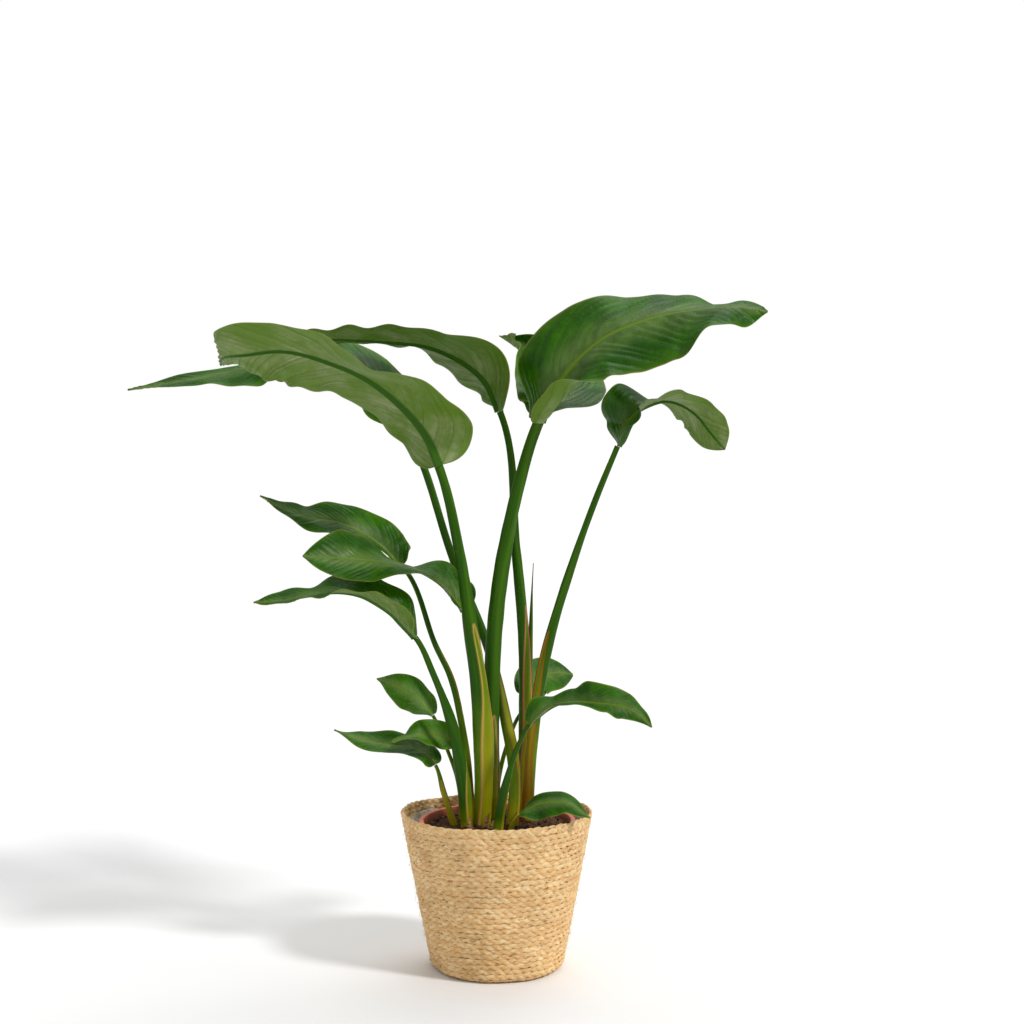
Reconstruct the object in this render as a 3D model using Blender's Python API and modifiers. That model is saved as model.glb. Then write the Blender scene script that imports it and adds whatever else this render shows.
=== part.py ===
"""Potted bird of paradise standing in a plaited seagrass basket.

Frame: metres, +Z up, origin at the middle of the basket's underside.
Seen from -Y, the plant spreads to both sides along X.
Every leaf is two parts: a stalk rising from the soil, and a blade whose midrib carries on from it.
"""
import math
from dataclasses import dataclass

import bmesh
import bpy
import numpy as np

# Driving dimensions, metres ---------------------------------------------------------------
GAP = 0.0004                    # clearance between parts that touch

BASKET_HEIGHT = 0.170
BASKET_TOP_RADIUS = 0.104
BASKET_FOOT_RADIUS = 0.074
BASKET_WALL = 0.005
BASKET_HEEL = 0.011             # rounding between wall and bottom

LINER_WALL = 0.0008
LINER_TOP = 0.1665

POT_TOP = 0.162
POT_RIM_RADIUS = 0.085
POT_FOOT_RADIUS = 0.058
POT_WALL = 0.0016
POT_LIP_HEIGHT = 0.010
POT_LIP_WIDTH = 0.0035
DRAIN_RADIUS = 0.005
DRAIN_RING_RADIUS = 0.040
DRAIN_COUNT = 5

SOIL_CROWN = 0.157              # level patch that the stalks stand on
SOIL_CROWN_RADIUS = 0.062
SOIL_EDGE = 0.152               # level against the pot wall

TURN_STEPS = 40                 # facets round the turned parts

STALK_FLATNESS = 0.74           # depth of a stalk's section over its width
STALK_SIDES = 10
BLADE_THICKNESS = 0.0010
BLADE_WIDEST = 0.36             # where along the midrib a blade is widest
SHOULDER = 2.6                  # 2 is a round shoulder at a blade's base, more is squarer
RIB_END_RADIUS = 0.0007         # half width of the midrib at the tip
RIB_DEPTH = 1.5                 # how far the midrib stands below the blade, over its half width

LEAF_GREEN = (0.045, 0.165, 0.018)
STALK_GREEN = (0.085, 0.23, 0.018)
YOUNG_GREEN = (0.16, 0.36, 0.025)


@dataclass(frozen=True)
class Leaf:
    """One leaf.

    Points are metres: the stalk's from the soil up, and the rib's from the blade's base to its
    tip. Left and right are seen from above, looking towards the tip. A half's lift is its
    angle above level, and its curl is how far it bends up between midrib and margin. Both are
    degrees, at even stations from base to tip.
    """
    name: str
    stalk: tuple
    radii: tuple
    rib: tuple
    halves: tuple               # width of the left and the right half
    lift_left: tuple
    lift_right: tuple
    curl_left: tuple = (0.0,)
    curl_right: tuple = (0.0,)
    lobe: float = 0.012         # how far the base lobes reach back past the stalk
    fullness: float = 2.3       # 1 is a straight taper to the tip, more is fuller
    fine: int = 2               # grid density, 1 for the small leaves


LEAVES = (
    Leaf("tall_front_left",
         stalk=((-0.016, -0.012, 0.1575), (-0.017, -0.026, 0.293), (-0.027, -0.030, 0.367),
                (-0.040, -0.032, 0.457), (-0.062, -0.032, 0.549)),
         radii=(0.0100, 0.0115, 0.0085, 0.0058, 0.0048),
         rib=((-0.077, -0.040, 0.584), (-0.110, -0.052, 0.622), (-0.140, -0.060, 0.644),
              (-0.173, -0.068, 0.658), (-0.222, -0.074, 0.670), (-0.262, -0.068, 0.666),
              (-0.286, -0.040, 0.664), (-0.296, 0.000, 0.656)),
         halves=(0.060, 0.053), lift_left=(80, 32, 4, 18, 38, 75),
         lift_right=(-8, -20, -27, -45, -40, 0), curl_left=(0, 0, 20, 40)),
    Leaf("tall_back_left",
         stalk=((0.026, 0.026, 0.1575), (0.031, 0.024, 0.254), (0.030, 0.027, 0.344),
                (0.021, 0.030, 0.452), (0.003, 0.036, 0.606)),
         radii=(0.0070, 0.0075, 0.0062, 0.0046, 0.0036),
         rib=((-0.012, 0.038, 0.637), (-0.042, 0.045, 0.662), (-0.077, 0.052, 0.677),
              (-0.118, 0.058, 0.682), (-0.174, 0.066, 0.685), (-0.241, 0.075, 0.686)),
         halves=(0.048, 0.044), lift_left=(15, 60, 24, 20, 20, 22, 22),
         lift_right=(-5, -25, -38, -20, -3, -5, -10, -10, -10)),
    Leaf("tall_far_left",
         stalk=((0.016, -0.018, 0.1575), (0.019, -0.012, 0.215), (0.009, 0.004, 0.274),
                (-0.006, 0.016, 0.336), (-0.050, 0.040, 0.448), (-0.085, 0.049, 0.555)),
         radii=(0.0070, 0.0068, 0.0055, 0.0048, 0.0044, 0.0040),
         rib=((-0.102, 0.054, 0.592), (-0.124, 0.067, 0.621), (-0.152, 0.079, 0.648),
              (-0.187, 0.090, 0.665), (-0.234, 0.108, 0.670), (-0.292, 0.124, 0.652),
              (-0.349, 0.132, 0.641), (-0.421, 0.131, 0.629)),
         halves=(0.048, 0.048), lift_left=(15, -12, -42, -38, -15, -20),
         lift_right=(-27, -20, 20, 24, 8, 8, 12, 20, 18)),
    Leaf("tall_front_right",
         stalk=((-0.007, 0.010, 0.1575), (-0.006, 0.000, 0.257), (-0.004, -0.006, 0.352),
                (0.001, -0.008, 0.407), (0.008, -0.009, 0.455), (0.022, -0.010, 0.522),
                (0.045, -0.012, 0.596)),
         radii=(0.0072, 0.0080, 0.0086, 0.0084, 0.0068, 0.0058),
         rib=((0.068, -0.018, 0.640), (0.109, -0.028, 0.682), (0.161, -0.040, 0.705),
              (0.213, -0.052, 0.714), (0.254, -0.060, 0.716), (0.282, -0.065, 0.711)),
         halves=(0.064, 0.062), lift_left=(25, 64, 56, 30, 17, 10, 18),
         lift_right=(-60, -75, -40, -55, -55, -18, -70), curl_right=(180, 160, 0, 0, 0, 0, 0),
         lobe=0.018, fullness=4.5),
    Leaf("tall_right",
         stalk=((0.033, 0.004, 0.1575), (0.038, 0.006, 0.241), (0.048, 0.006, 0.318),
                (0.086, 0.004, 0.454), (0.108, 0.002, 0.515), (0.130, 0.000, 0.569)),
         radii=(0.0065, 0.0062, 0.0062, 0.0048, 0.0036, 0.0030),
         rib=((0.139, 0.002, 0.591), (0.151, 0.006, 0.606), (0.165, 0.006, 0.614),
              (0.183, 0.000, 0.618), (0.201, -0.010, 0.612), (0.215, -0.017, 0.601),
              (0.227, -0.021, 0.585), (0.243, -0.024, 0.566)),
         halves=(0.037, 0.038), lift_left=(-10, 15, 80, 5, -33, -45, -48, -45, -42),
         lift_right=(5, 5, 12, 6, 6, 28, 50, 60, 90), lobe=0.002, fullness=5.0),
    Leaf("tall_back",
         stalk=((-0.001, 0.038, 0.1575), (-0.004, 0.036, 0.289), (-0.002, 0.031, 0.378),
                (0.010, 0.014, 0.466), (0.030, 0.016, 0.553), (0.050, 0.032, 0.602)),
         radii=(0.0060, 0.0062, 0.0055, 0.0048, 0.0040, 0.0036),
         rib=((0.065, 0.045, 0.614), (0.070, 0.075, 0.627), (0.063, 0.120, 0.646),
              (0.038, 0.170, 0.668), (0.004, 0.215, 0.692)),
         halves=(0.048, 0.050), lift_left=(10,), lift_right=(2,), curl_left=(0, 0, 60, 150),
         curl_right=(0, 0, 60, 150)),
    Leaf("middle_upper",
         stalk=((-0.028, 0.008, 0.1575), (-0.039, 0.012, 0.267), (-0.052, 0.016, 0.319),
                (-0.066, 0.022, 0.347), (-0.105, 0.044, 0.435)),
         radii=(0.0040, 0.0042, 0.0036, 0.0030, 0.0026),
         rib=((-0.113, 0.048, 0.442), (-0.124, 0.048, 0.454), (-0.135, 0.047, 0.463),
              (-0.155, 0.044, 0.476), (-0.174, 0.040, 0.484), (-0.208, 0.030, 0.491),
              (-0.233, 0.022, 0.501), (-0.257, 0.014, 0.515)),
         halves=(0.028, 0.028), lift_left=(0, -8, -30, -33, -25, -42),
         lift_right=(90, 70, 52, 40, 30, 27), lobe=0.008),
    Leaf("middle_centre",
         stalk=((-0.019, 0.024, 0.1575), (-0.026, 0.016, 0.306), (-0.033, 0.010, 0.366),
                (-0.036, 0.006, 0.389)),
         radii=(0.0040, 0.0038, 0.0032, 0.0028),
         rib=((-0.046, 0.002, 0.404), (-0.057, -0.003, 0.418), (-0.072, -0.010, 0.430),
              (-0.106, -0.024, 0.444), (-0.151, -0.037, 0.450), (-0.205, -0.052, 0.455)),
         halves=(0.032, 0.040), lift_left=(-15, -18, -9, -16, -42, -53, -60),
         lift_right=(80, 50, 3, 6, 35, 75, 75), lobe=0.005, fullness=4.0),
    Leaf("middle_lower",
         stalk=((-0.032, -0.022, 0.1575), (-0.036, -0.026, 0.207), (-0.049, -0.032, 0.274),
                (-0.068, -0.036, 0.327), (-0.087, -0.040, 0.367)),
         radii=(0.0075, 0.0078, 0.0062, 0.0038, 0.0030),
         rib=((-0.101, -0.042, 0.382), (-0.110, -0.045, 0.392), (-0.126, -0.050, 0.404),
              (-0.142, -0.055, 0.413), (-0.165, -0.062, 0.418), (-0.196, -0.068, 0.415),
              (-0.227, -0.074, 0.410), (-0.254, -0.078, 0.409)),
         halves=(0.028, 0.035), lift_left=(0, 24, 24, 10, 6, -3, -22),
         lift_right=(15, 62, 42, 25, 15, 25, 33)),
    Leaf("low_left_top",
         stalk=((-0.040, 0.014, 0.1575), (-0.044, 0.018, 0.204), (-0.056, 0.024, 0.237),
                (-0.071, 0.026, 0.272)),
         radii=(0.0026, 0.0024, 0.0021, 0.0019),
         rib=((-0.081, 0.028, 0.284), (-0.101, 0.032, 0.299), (-0.133, 0.038, 0.311)),
         halves=(0.020, 0.020), lift_left=(10, -35, -57, -55, -10),
         lift_right=(15, 32, 52, 45, 33), lobe=0.004, fine=1),
    Leaf("low_left_centre",
         stalk=((-0.035, -0.004, 0.1575), (-0.036, -0.004, 0.202), (-0.038, -0.004, 0.230),
                (-0.045, -0.004, 0.245)),
         radii=(0.0028, 0.0026, 0.0022, 0.0019),
         rib=((-0.052, -0.004, 0.250), (-0.067, -0.010, 0.256), (-0.085, -0.026, 0.260),
              (-0.113, -0.040, 0.254)),
         halves=(0.014, 0.016), lift_left=(-30, -50, -50, -20, 0),
         lift_right=(100, 88, 65, 5, 10), lobe=0.003, fine=1),
    Leaf("low_left_bottom",
         stalk=((-0.046, -0.014, 0.1575), (-0.058, -0.014, 0.195), (-0.067, -0.010, 0.224)),
         radii=(0.0044, 0.0032, 0.0020),
         rib=((-0.073, -0.008, 0.233), (-0.082, -0.006, 0.239), (-0.092, -0.004, 0.242),
              (-0.115, -0.002, 0.244), (-0.143, 0.000, 0.249), (-0.177, 0.000, 0.261)),
         halves=(0.018, 0.018), lift_left=(-30, -8, -18, -30, -12),
         lift_right=(20, 24, 48, 28, -10), lobe=0.004, fine=1),
    Leaf("low_right",
         stalk=((0.001, -0.045, 0.1575), (0.010, -0.047, 0.212), (0.024, -0.050, 0.256),
                (0.034, -0.052, 0.275)),
         radii=(0.0062, 0.0052, 0.0030, 0.0022),
         rib=((0.045, -0.055, 0.286), (0.062, -0.058, 0.298), (0.082, -0.061, 0.301),
              (0.108, -0.065, 0.300), (0.135, -0.070, 0.297), (0.162, -0.080, 0.277)),
         halves=(0.022, 0.020), lift_left=(60, 70, 18, 33, 80, 80, 65, 32, 50),
         lift_right=(-3, 0, 5, -3, -3, -12, -60, -75, -75), lobe=0.006, fine=1),
    Leaf("low_back",
         stalk=((-0.002, 0.052, 0.1575), (0.009, 0.050, 0.228), (0.021, 0.050, 0.261),
                (0.037, 0.052, 0.288)),
         radii=(0.0032, 0.0026, 0.0022, 0.0019),
         rib=((0.041, 0.056, 0.304), (0.049, 0.064, 0.310), (0.062, 0.078, 0.311),
              (0.076, 0.092, 0.309), (0.086, 0.100, 0.306)),
         halves=(0.022, 0.020), lift_left=(45,), lift_right=(-60,), lobe=0.004, fullness=4.0,
         fine=1),
    Leaf("low_front",
         stalk=((0.014, -0.044, 0.1575), (0.018, -0.048, 0.170), (0.024, -0.050, 0.1785)),
         radii=(0.0030, 0.0026, 0.0020),
         rib=((0.035, -0.052, 0.186), (0.046, -0.055, 0.191), (0.062, -0.060, 0.194),
              (0.077, -0.066, 0.193), (0.087, -0.071, 0.187), (0.098, -0.076, 0.180)),
         halves=(0.017, 0.016), lift_left=(10, 22, 27, 0, 3),
         lift_right=(-5, -75, -55, -33, -50), lobe=0.002, fine=1),
)

SPEAR_PATH = ((0.034, 0.042, 0.1575), (0.037, 0.040, 0.270), (0.037, 0.037, 0.360),
              (0.040, 0.036, 0.439))
SPEAR_RADII = (0.0034, 0.0032, 0.0026, 0.0005)

SCRAPS = (
    ((-0.0290, -0.0335, 0.1575), (-0.0300, -0.0355, 0.166), (-0.0285, -0.0350, 0.174)),
    ((-0.0130, -0.0300, 0.1575), (-0.0115, -0.0320, 0.167), (-0.0075, -0.0325, 0.177)),
    ((-0.0060, -0.0270, 0.1575), (-0.0035, -0.0280, 0.165), (0.0015, -0.0285, 0.169)),
)
SCRAP_RADII = (0.0030, 0.0022, 0.0007)


# Scene helpers ----------------------------------------------------------------------------
def clear_scene():
    """Remove every object, so that the file starts empty."""
    for item in list(bpy.data.objects):
        bpy.data.objects.remove(item, do_unlink=True)


def new_collection(name):
    """Make a collection in the scene and return it."""
    group = bpy.data.collections.new(name)
    bpy.context.scene.collection.children.link(group)
    return group


def finish(name, colour, roughness):
    """A plain Principled material of one colour."""
    material = bpy.data.materials.new(name)
    material.use_nodes = True
    shader = material.node_tree.nodes["Principled BSDF"]
    shader.inputs["Base Color"].default_value = (*colour, 1.0)
    shader.inputs["Roughness"].default_value = roughness
    shader.inputs["Metallic"].default_value = 0.0
    material.diffuse_color = (*colour, 1.0)
    return material


def add_object(name, mesh, material, group):
    """Put a mesh in the scene as a named object."""
    item = bpy.data.objects.new(name, mesh)
    item.data.materials.append(material)
    group.objects.link(item)
    return item


def smooth(mesh, angle=40.0):
    """Shade smooth, with edges sharper than the angle left crisp."""
    mesh.shade_smooth()
    mesh.set_sharp_from_angle(angle=math.radians(angle))


# Geometry ---------------------------------------------------------------------------------
def curve_through(points, stations):
    """Positions and directions at stations 0 to 1 of a smooth curve through the points.

    Each span is a cubic whose end directions are the slopes of the parabola through three
    neighbouring points, and the spans share out 0 to 1 by their straight lengths.
    """
    knots = np.asarray(points, dtype=float)
    steps = np.linalg.norm(np.diff(knots, axis=0), axis=1)
    places = np.concatenate([[0.0], np.cumsum(steps)]) / steps.sum()
    slopes = np.gradient(knots, places, axis=0, edge_order=min(2, len(knots) - 1))
    stations = np.asarray(stations, dtype=float)
    span = np.clip(np.searchsorted(places, stations, side="right") - 1, 0, len(knots) - 2)
    width = (places[span + 1] - places[span])[:, None]
    t = (stations[:, None] - places[span][:, None]) / width
    start, end = knots[span], knots[span + 1]
    out, back = slopes[span] * width, slopes[span + 1] * width
    position = ((2 * t**3 - 3 * t**2 + 1) * start + (t**3 - 2 * t**2 + t) * out
                + (3 * t**2 - 2 * t**3) * end + (t**3 - t**2) * back)
    tangent = ((6 * t**2 - 6 * t) * (start - end) + (3 * t**2 - 4 * t + 1) * out
               + (3 * t**2 - 2 * t) * back)
    return position, tangent / np.linalg.norm(tangent, axis=1)[:, None]


def along(values, stations):
    """A number given at even stations, read off smoothly at any station."""
    if len(values) == 1:
        return np.full(len(stations), float(values[0]))
    ramp = np.asarray(values, dtype=float)
    last = len(values) - 1
    places = np.asarray(stations) * last
    low = np.clip(places.astype(int), 0, last - 1)
    part = places - low
    ease = part * part * (3.0 - 2.0 * part)
    return ramp[low] * (1.0 - ease) + ramp[low + 1] * ease


def side_and_up(tangent, roll):
    """Two directions square to a path: to its right seen from above, and upwards.

    The roll, in degrees, turns both about the path and is positive where the right rises.
    """
    right = np.cross(tangent, (0.0, 0.0, 1.0))
    right /= np.linalg.norm(right, axis=1)[:, None]
    above = np.cross(right, tangent)
    turn = np.radians(roll)[:, None]
    return (right * np.cos(turn) + above * np.sin(turn),
            above * np.cos(turn) - right * np.sin(turn))


def tube_from_rings(name, rings):
    """Close a stack of rings into one solid.

    A grid is wrapped round so that its first and last columns meet, its points are moved on
    to the rings, the seam is welded, and the two open ends are filled.
    """
    levels, sides = rings.shape[:2]
    net = bmesh.new()
    bmesh.ops.create_grid(net, x_segments=sides, y_segments=levels - 1, size=1.0)
    net.verts.ensure_lookup_table()
    places = np.array([vert.co[:] for vert in net.verts])
    column = np.rint((places[:, 0] + 1.0) / 2.0 * sides).astype(int) % sides
    row = np.rint((places[:, 1] + 1.0) / 2.0 * (levels - 1)).astype(int)
    for vert, ring, corner in zip(net.verts, row, column):
        vert.co = rings[ring, corner]
    bmesh.ops.remove_doubles(net, verts=net.verts, dist=1e-7)
    bmesh.ops.holes_fill(net, edges=[edge for edge in net.edges if edge.is_boundary], sides=0)
    bmesh.ops.triangulate(net, faces=[face for face in net.faces if len(face.verts) > 4])
    bmesh.ops.recalc_face_normals(net, faces=net.faces)
    mesh = bpy.data.meshes.new(name)
    net.to_mesh(mesh)
    net.free()
    smooth(mesh)
    return mesh


def oval_rings(centre, tangent, radius, sides=STALK_SIDES, flatness=STALK_FLATNESS):
    """Oval rings along a path: wide across the view, flatter in depth, the lowest one level."""
    rise = np.clip(np.arange(len(centre)), 0.0, 1.0)[:, None]
    square = tangent * rise + np.array((0.0, 0.0, 1.0)) * (1.0 - rise)
    wide = np.cross((0.0, 1.0, 0.0), square)
    wide /= np.linalg.norm(wide, axis=1)[:, None]
    deep = np.cross(square, wide)
    angle = np.arange(sides) / sides * 2.0 * math.pi
    return (centre[:, None, :]
            + (radius[:, None] * np.cos(angle))[..., None] * wide[:, None, :]
            + (radius[:, None] * np.sin(angle) * flatness)[..., None] * deep[:, None, :])


def half_width(stations, fullness):
    """Outline of a lamina half, 0 to 1: a round shoulder at the base, a long point at the tip."""
    rest = 1.0 - np.minimum(stations / BLADE_WIDEST, 1.0)
    rise = np.clip(1.0 - rest**SHOULDER, 0.0, 1.0) ** (1.1 / SHOULDER)
    fall = np.clip((stations - BLADE_WIDEST) / (1.0 - BLADE_WIDEST), 0.0, 1.0)
    return rise * (1.0 - fall**fullness)


def blade_rings(leaf, centre, tangent, stations):
    """Thin closed sections across a blade, each running over its top and back under it.

    Across a half the surface starts at the fold angle and bends evenly by the curl, so the
    offsets are the sums of the cosine and the sine of that angle. Near the base the section
    is swept back by the lobe, more towards the margin.
    """
    share = np.linspace(0.0, 1.0, 3 + leaf.fine)
    lifts = along(leaf.lift_left, stations), along(leaf.lift_right, stations)
    right, above = side_and_up(tangent, (lifts[1] - lifts[0]) / 2.0)
    fold = np.radians(lifts[0] + lifts[1])[:, None] / 2.0
    rib = leaf.radii[-1] + (RIB_END_RADIUS - leaf.radii[-1]) * stations**0.8
    outline = half_width(stations, leaf.fullness)
    shoulder = outline * np.clip(1.0 - stations / BLADE_WIDEST, 0.0, 1.0)
    swept = (leaf.lobe * shoulder)[:, None] * share**2
    upper, lower = [], []
    for sign, width, curl in ((-1.0, leaf.halves[0], leaf.curl_left),
                              (1.0, leaf.halves[1], leaf.curl_right)):
        bend = np.radians(along(curl, stations))[:, None] * share / 2.0
        reach = (width * outline)[:, None] * share * np.sinc(bend / math.pi)
        sideways = sign * (rib[:, None] + reach * np.cos(fold + bend))
        upward = reach * np.sin(fold + bend)
        face = fold + 2.0 * bend
        normal = (np.cos(face)[..., None] * above[:, None, :]
                  - sign * np.sin(face)[..., None] * right[:, None, :])
        upper.append(centre[:, None, :]
                     + sideways[..., None] * right[:, None, :]
                     + upward[..., None] * above[:, None, :]
                     - swept[..., None] * tangent[:, None, :])
        lower.append(upper[-1] - BLADE_THICKNESS * normal)
    keel = centre - (BLADE_THICKNESS + RIB_DEPTH * rib)[:, None] * above
    top = np.concatenate([upper[0][:, ::-1], centre[:, None, :], upper[1]], axis=1)
    under = np.concatenate([lower[0][:, ::-1], keel[:, None, :], lower[1]], axis=1)
    return np.concatenate([top, under[:, ::-1]], axis=1)


def turned(name, profile, material, group):
    """A solid of revolution about Z, from a profile that ends on the axis at both ends."""
    mesh = bpy.data.meshes.new(name)
    edges = [(index, index + 1) for index in range(len(profile) - 1)]
    mesh.from_pydata([(radius, 0.0, height) for radius, height in profile], edges, [])
    item = add_object(name, mesh, material, group)
    screw = item.modifiers.new("turn", "SCREW")
    screw.axis = "Z"
    screw.steps = TURN_STEPS
    screw.render_steps = TURN_STEPS
    screw.use_merge_vertices = True
    screw.merge_threshold = 0.0001
    screw.use_smooth_shade = True
    return item


def arc(centre, radius, start, end, count):
    """Points on an arc in the profile plane, angles in degrees."""
    angles = np.radians(np.linspace(start, end, count))
    return [(centre[0] + radius * math.cos(a), centre[1] + radius * math.sin(a)) for a in angles]


# Parts ------------------------------------------------------------------------------------
def wall_radius(height, inset=0.0):
    """Basket wall radius at a height, moved inwards by an inset."""
    share = height / BASKET_HEIGHT
    return BASKET_FOOT_RADIUS + (BASKET_TOP_RADIUS - BASKET_FOOT_RADIUS) * share - inset


def build_basket(group):
    """Round tapering basket with a rolled rim and a rounded heel."""
    straw = finish("seagrass", (0.66, 0.47, 0.24), 0.85)
    rim = BASKET_WALL / 2.0
    rim_height = BASKET_HEIGHT - rim
    rim_centre = (wall_radius(BASKET_HEIGHT) - rim, rim_height)
    heel_centre = (wall_radius(BASKET_HEEL) - BASKET_HEEL, BASKET_HEEL)
    inner_floor = BASKET_WALL
    profile = [(0.0, inner_floor)]
    profile += [(wall_radius(BASKET_HEEL, BASKET_WALL) - 0.006, inner_floor)]
    profile += [(wall_radius(BASKET_HEEL, BASKET_WALL), inner_floor + 0.006)]
    profile += [(wall_radius(height, BASKET_WALL), height) for height in (0.065, 0.12)]
    profile += arc(rim_centre, rim, 180.0, 0.0, 5)
    profile += [(wall_radius(height), height) for height in (0.12, 0.065)]
    profile += arc(heel_centre, BASKET_HEEL, 0.0, -90.0, 5)
    profile += [(0.0, 0.0)]
    return turned("basket", profile, straw, group)


def build_liner(group):
    """Thin plastic film cup between the basket and the nursery pot."""
    film = finish("liner_film", (0.72, 0.72, 0.70), 0.35)
    outset = BASKET_WALL + GAP
    floor = BASKET_WALL + GAP
    bend = 0.014
    inner = outset + LINER_WALL
    profile = [
        (0.0, floor + LINER_WALL),
        (wall_radius(bend, inner) - 0.010, floor + LINER_WALL),
        (wall_radius(bend, inner), bend),
        (wall_radius(LINER_TOP, inner), LINER_TOP),
        (wall_radius(LINER_TOP, outset), LINER_TOP),
        (wall_radius(bend, outset), bend - 0.0004),
        (wall_radius(bend, outset) - 0.010, floor),
        (0.0, floor),
    ]
    return turned("liner", profile, film, group)


def pot_floor():
    """Height of the nursery pot's underside, standing on the liner."""
    return BASKET_WALL + GAP + LINER_WALL + GAP


def pot_radius(height):
    """Outer radius of the nursery pot's wall at a height."""
    top = POT_RIM_RADIUS - POT_LIP_WIDTH
    share = (height - pot_floor()) / (POT_TOP - pot_floor())
    return POT_FOOT_RADIUS + (top - POT_FOOT_RADIUS) * share


def build_pot(group, tools):
    """Tapering nursery pot with a turned-out lip and drain holes in its floor."""
    clay = finish("terracotta_plastic", (0.58, 0.17, 0.075), 0.5)
    base = pot_floor()
    lip_foot = POT_TOP - POT_LIP_HEIGHT
    profile = [
        (0.0, base + POT_WALL),
        (POT_FOOT_RADIUS - POT_WALL, base + POT_WALL),
        (pot_radius(lip_foot) - POT_WALL, lip_foot),
        (pot_radius(POT_TOP) - POT_WALL, POT_TOP),
        (POT_RIM_RADIUS, POT_TOP),
        (POT_RIM_RADIUS - 0.0006, lip_foot),
        (pot_radius(lip_foot), lip_foot),
        (POT_FOOT_RADIUS, base),
        (0.0, base),
    ]
    pot = turned("nursery_pot", profile, clay, group)
    for index in range(DRAIN_COUNT):
        angle = index / DRAIN_COUNT * 2.0 * math.pi
        bpy.ops.mesh.primitive_cylinder_add(
            vertices=12, radius=DRAIN_RADIUS, depth=6.0 * POT_WALL,
            location=(DRAIN_RING_RADIUS * math.cos(angle), DRAIN_RING_RADIUS * math.sin(angle), base))
        drill = bpy.context.object
        drill.name = f"drain_cutter_{index + 1}"
        drill.hide_render = True
        drill.display_type = "WIRE"
        for owner in list(drill.users_collection):
            owner.objects.unlink(drill)
        tools.objects.link(drill)
        cut = pot.modifiers.new(f"drain_{index + 1}", "BOOLEAN")
        cut.operation = "DIFFERENCE"
        cut.object = drill
    return pot


def build_soil(group):
    """Potting soil that fills the pot and is a little higher in the middle."""
    peat = finish("peat_soil", (0.060, 0.028, 0.013), 0.95)
    base = pot_floor() + POT_WALL + GAP
    inset = POT_WALL + GAP
    profile = [
        (0.0, SOIL_CROWN),
        (SOIL_CROWN_RADIUS / 2.0, SOIL_CROWN),
        (SOIL_CROWN_RADIUS, SOIL_CROWN - 0.0004),
        (pot_radius(SOIL_EDGE) - inset, SOIL_EDGE),
        (POT_FOOT_RADIUS - inset, base),
        (0.0, base),
    ]
    return turned("soil", profile, peat, group)


def build_leaf(leaf, group, colours):
    """One leaf: its stalk, and its blade with the midrib that carries on from the stalk.

    Both follow one smooth curve, cut at the blade's base with a small gap.
    """
    knots = np.array(leaf.stalk + leaf.rib)
    steps = np.linalg.norm(np.diff(knots, axis=0), axis=1)
    foot = steps[:len(leaf.stalk) - 1].sum() / steps.sum()
    gap = GAP / steps.sum()
    climb = np.linspace(0.0, 1.0, 7 + 3 * leaf.fine)
    centre, tangent = curve_through(knots, climb * (foot - gap))
    rings = oval_rings(centre, tangent, along(leaf.radii, climb))
    stalk = tube_from_rings(f"{leaf.name}_stalk", rings)
    reach = np.linspace(0.0, 1.0, 8 + 4 * leaf.fine)**1.15
    centre, tangent = curve_through(knots, foot + gap + reach * (1.0 - foot - gap))
    blade = tube_from_rings(f"{leaf.name}_blade", blade_rings(leaf, centre, tangent, reach))
    add_object(stalk.name, stalk, colours[0], group)
    add_object(blade.name, blade, colours[1], group)


def build_spear(group):
    """New leaf, still rolled up, standing against the back of a stalk."""
    young = finish("young_leaf", YOUNG_GREEN, 0.4)
    climb = np.linspace(0.0, 1.0, 10)
    centre, tangent = curve_through(SPEAR_PATH, climb)
    rings = oval_rings(centre, tangent, along(SPEAR_RADII, climb), sides=8, flatness=0.9)
    mesh = tube_from_rings("rolled_leaf", rings)
    add_object("rolled_leaf", mesh, young, group)


def build_scraps(group):
    """Dry papery ends of old sheaths at the foot of the stalks."""
    dry = finish("dry_sheath", (0.42, 0.27, 0.14), 0.9)
    climb = np.linspace(0.0, 1.0, 6)
    for index, path in enumerate(SCRAPS):
        name = f"dry_sheath_{index + 1}"
        centre, tangent = curve_through(path, climb)
        rings = oval_rings(centre, tangent, along(SCRAP_RADII, climb), sides=8, flatness=0.35)
        mesh = tube_from_rings(name, rings)
        add_object(name, mesh, dry, group)


def main():
    """Build every part of the potted plant."""
    clear_scene()
    group = new_collection("potted_bird_of_paradise")
    tools = new_collection("cutters")
    build_basket(group)
    build_liner(group)
    build_pot(group, tools)
    build_soil(group)
    colours = (finish("stalk", STALK_GREEN, 0.45), finish("leaf", LEAF_GREEN, 0.42))
    for leaf in LEAVES:
        build_leaf(leaf, group, colours)
    build_spear(group)
    build_scraps(group)


main()
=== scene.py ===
"""Looks of a potted bird of paradise that stands in a plaited seagrass basket.

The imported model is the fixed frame: metres, +Z up, origin at the middle of the basket's
underside, and -Y towards the viewer. Every CAD node is stood for by a detailed piece that is
worked out with numpy on a grid: tubes carried along smooth curves for stalks, strands and
fibres, thin folded sections for the leaves, and turned profiles for pot, liner and soil.
"""
import logging
import math
from dataclasses import dataclass, field
from enum import Enum

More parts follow.
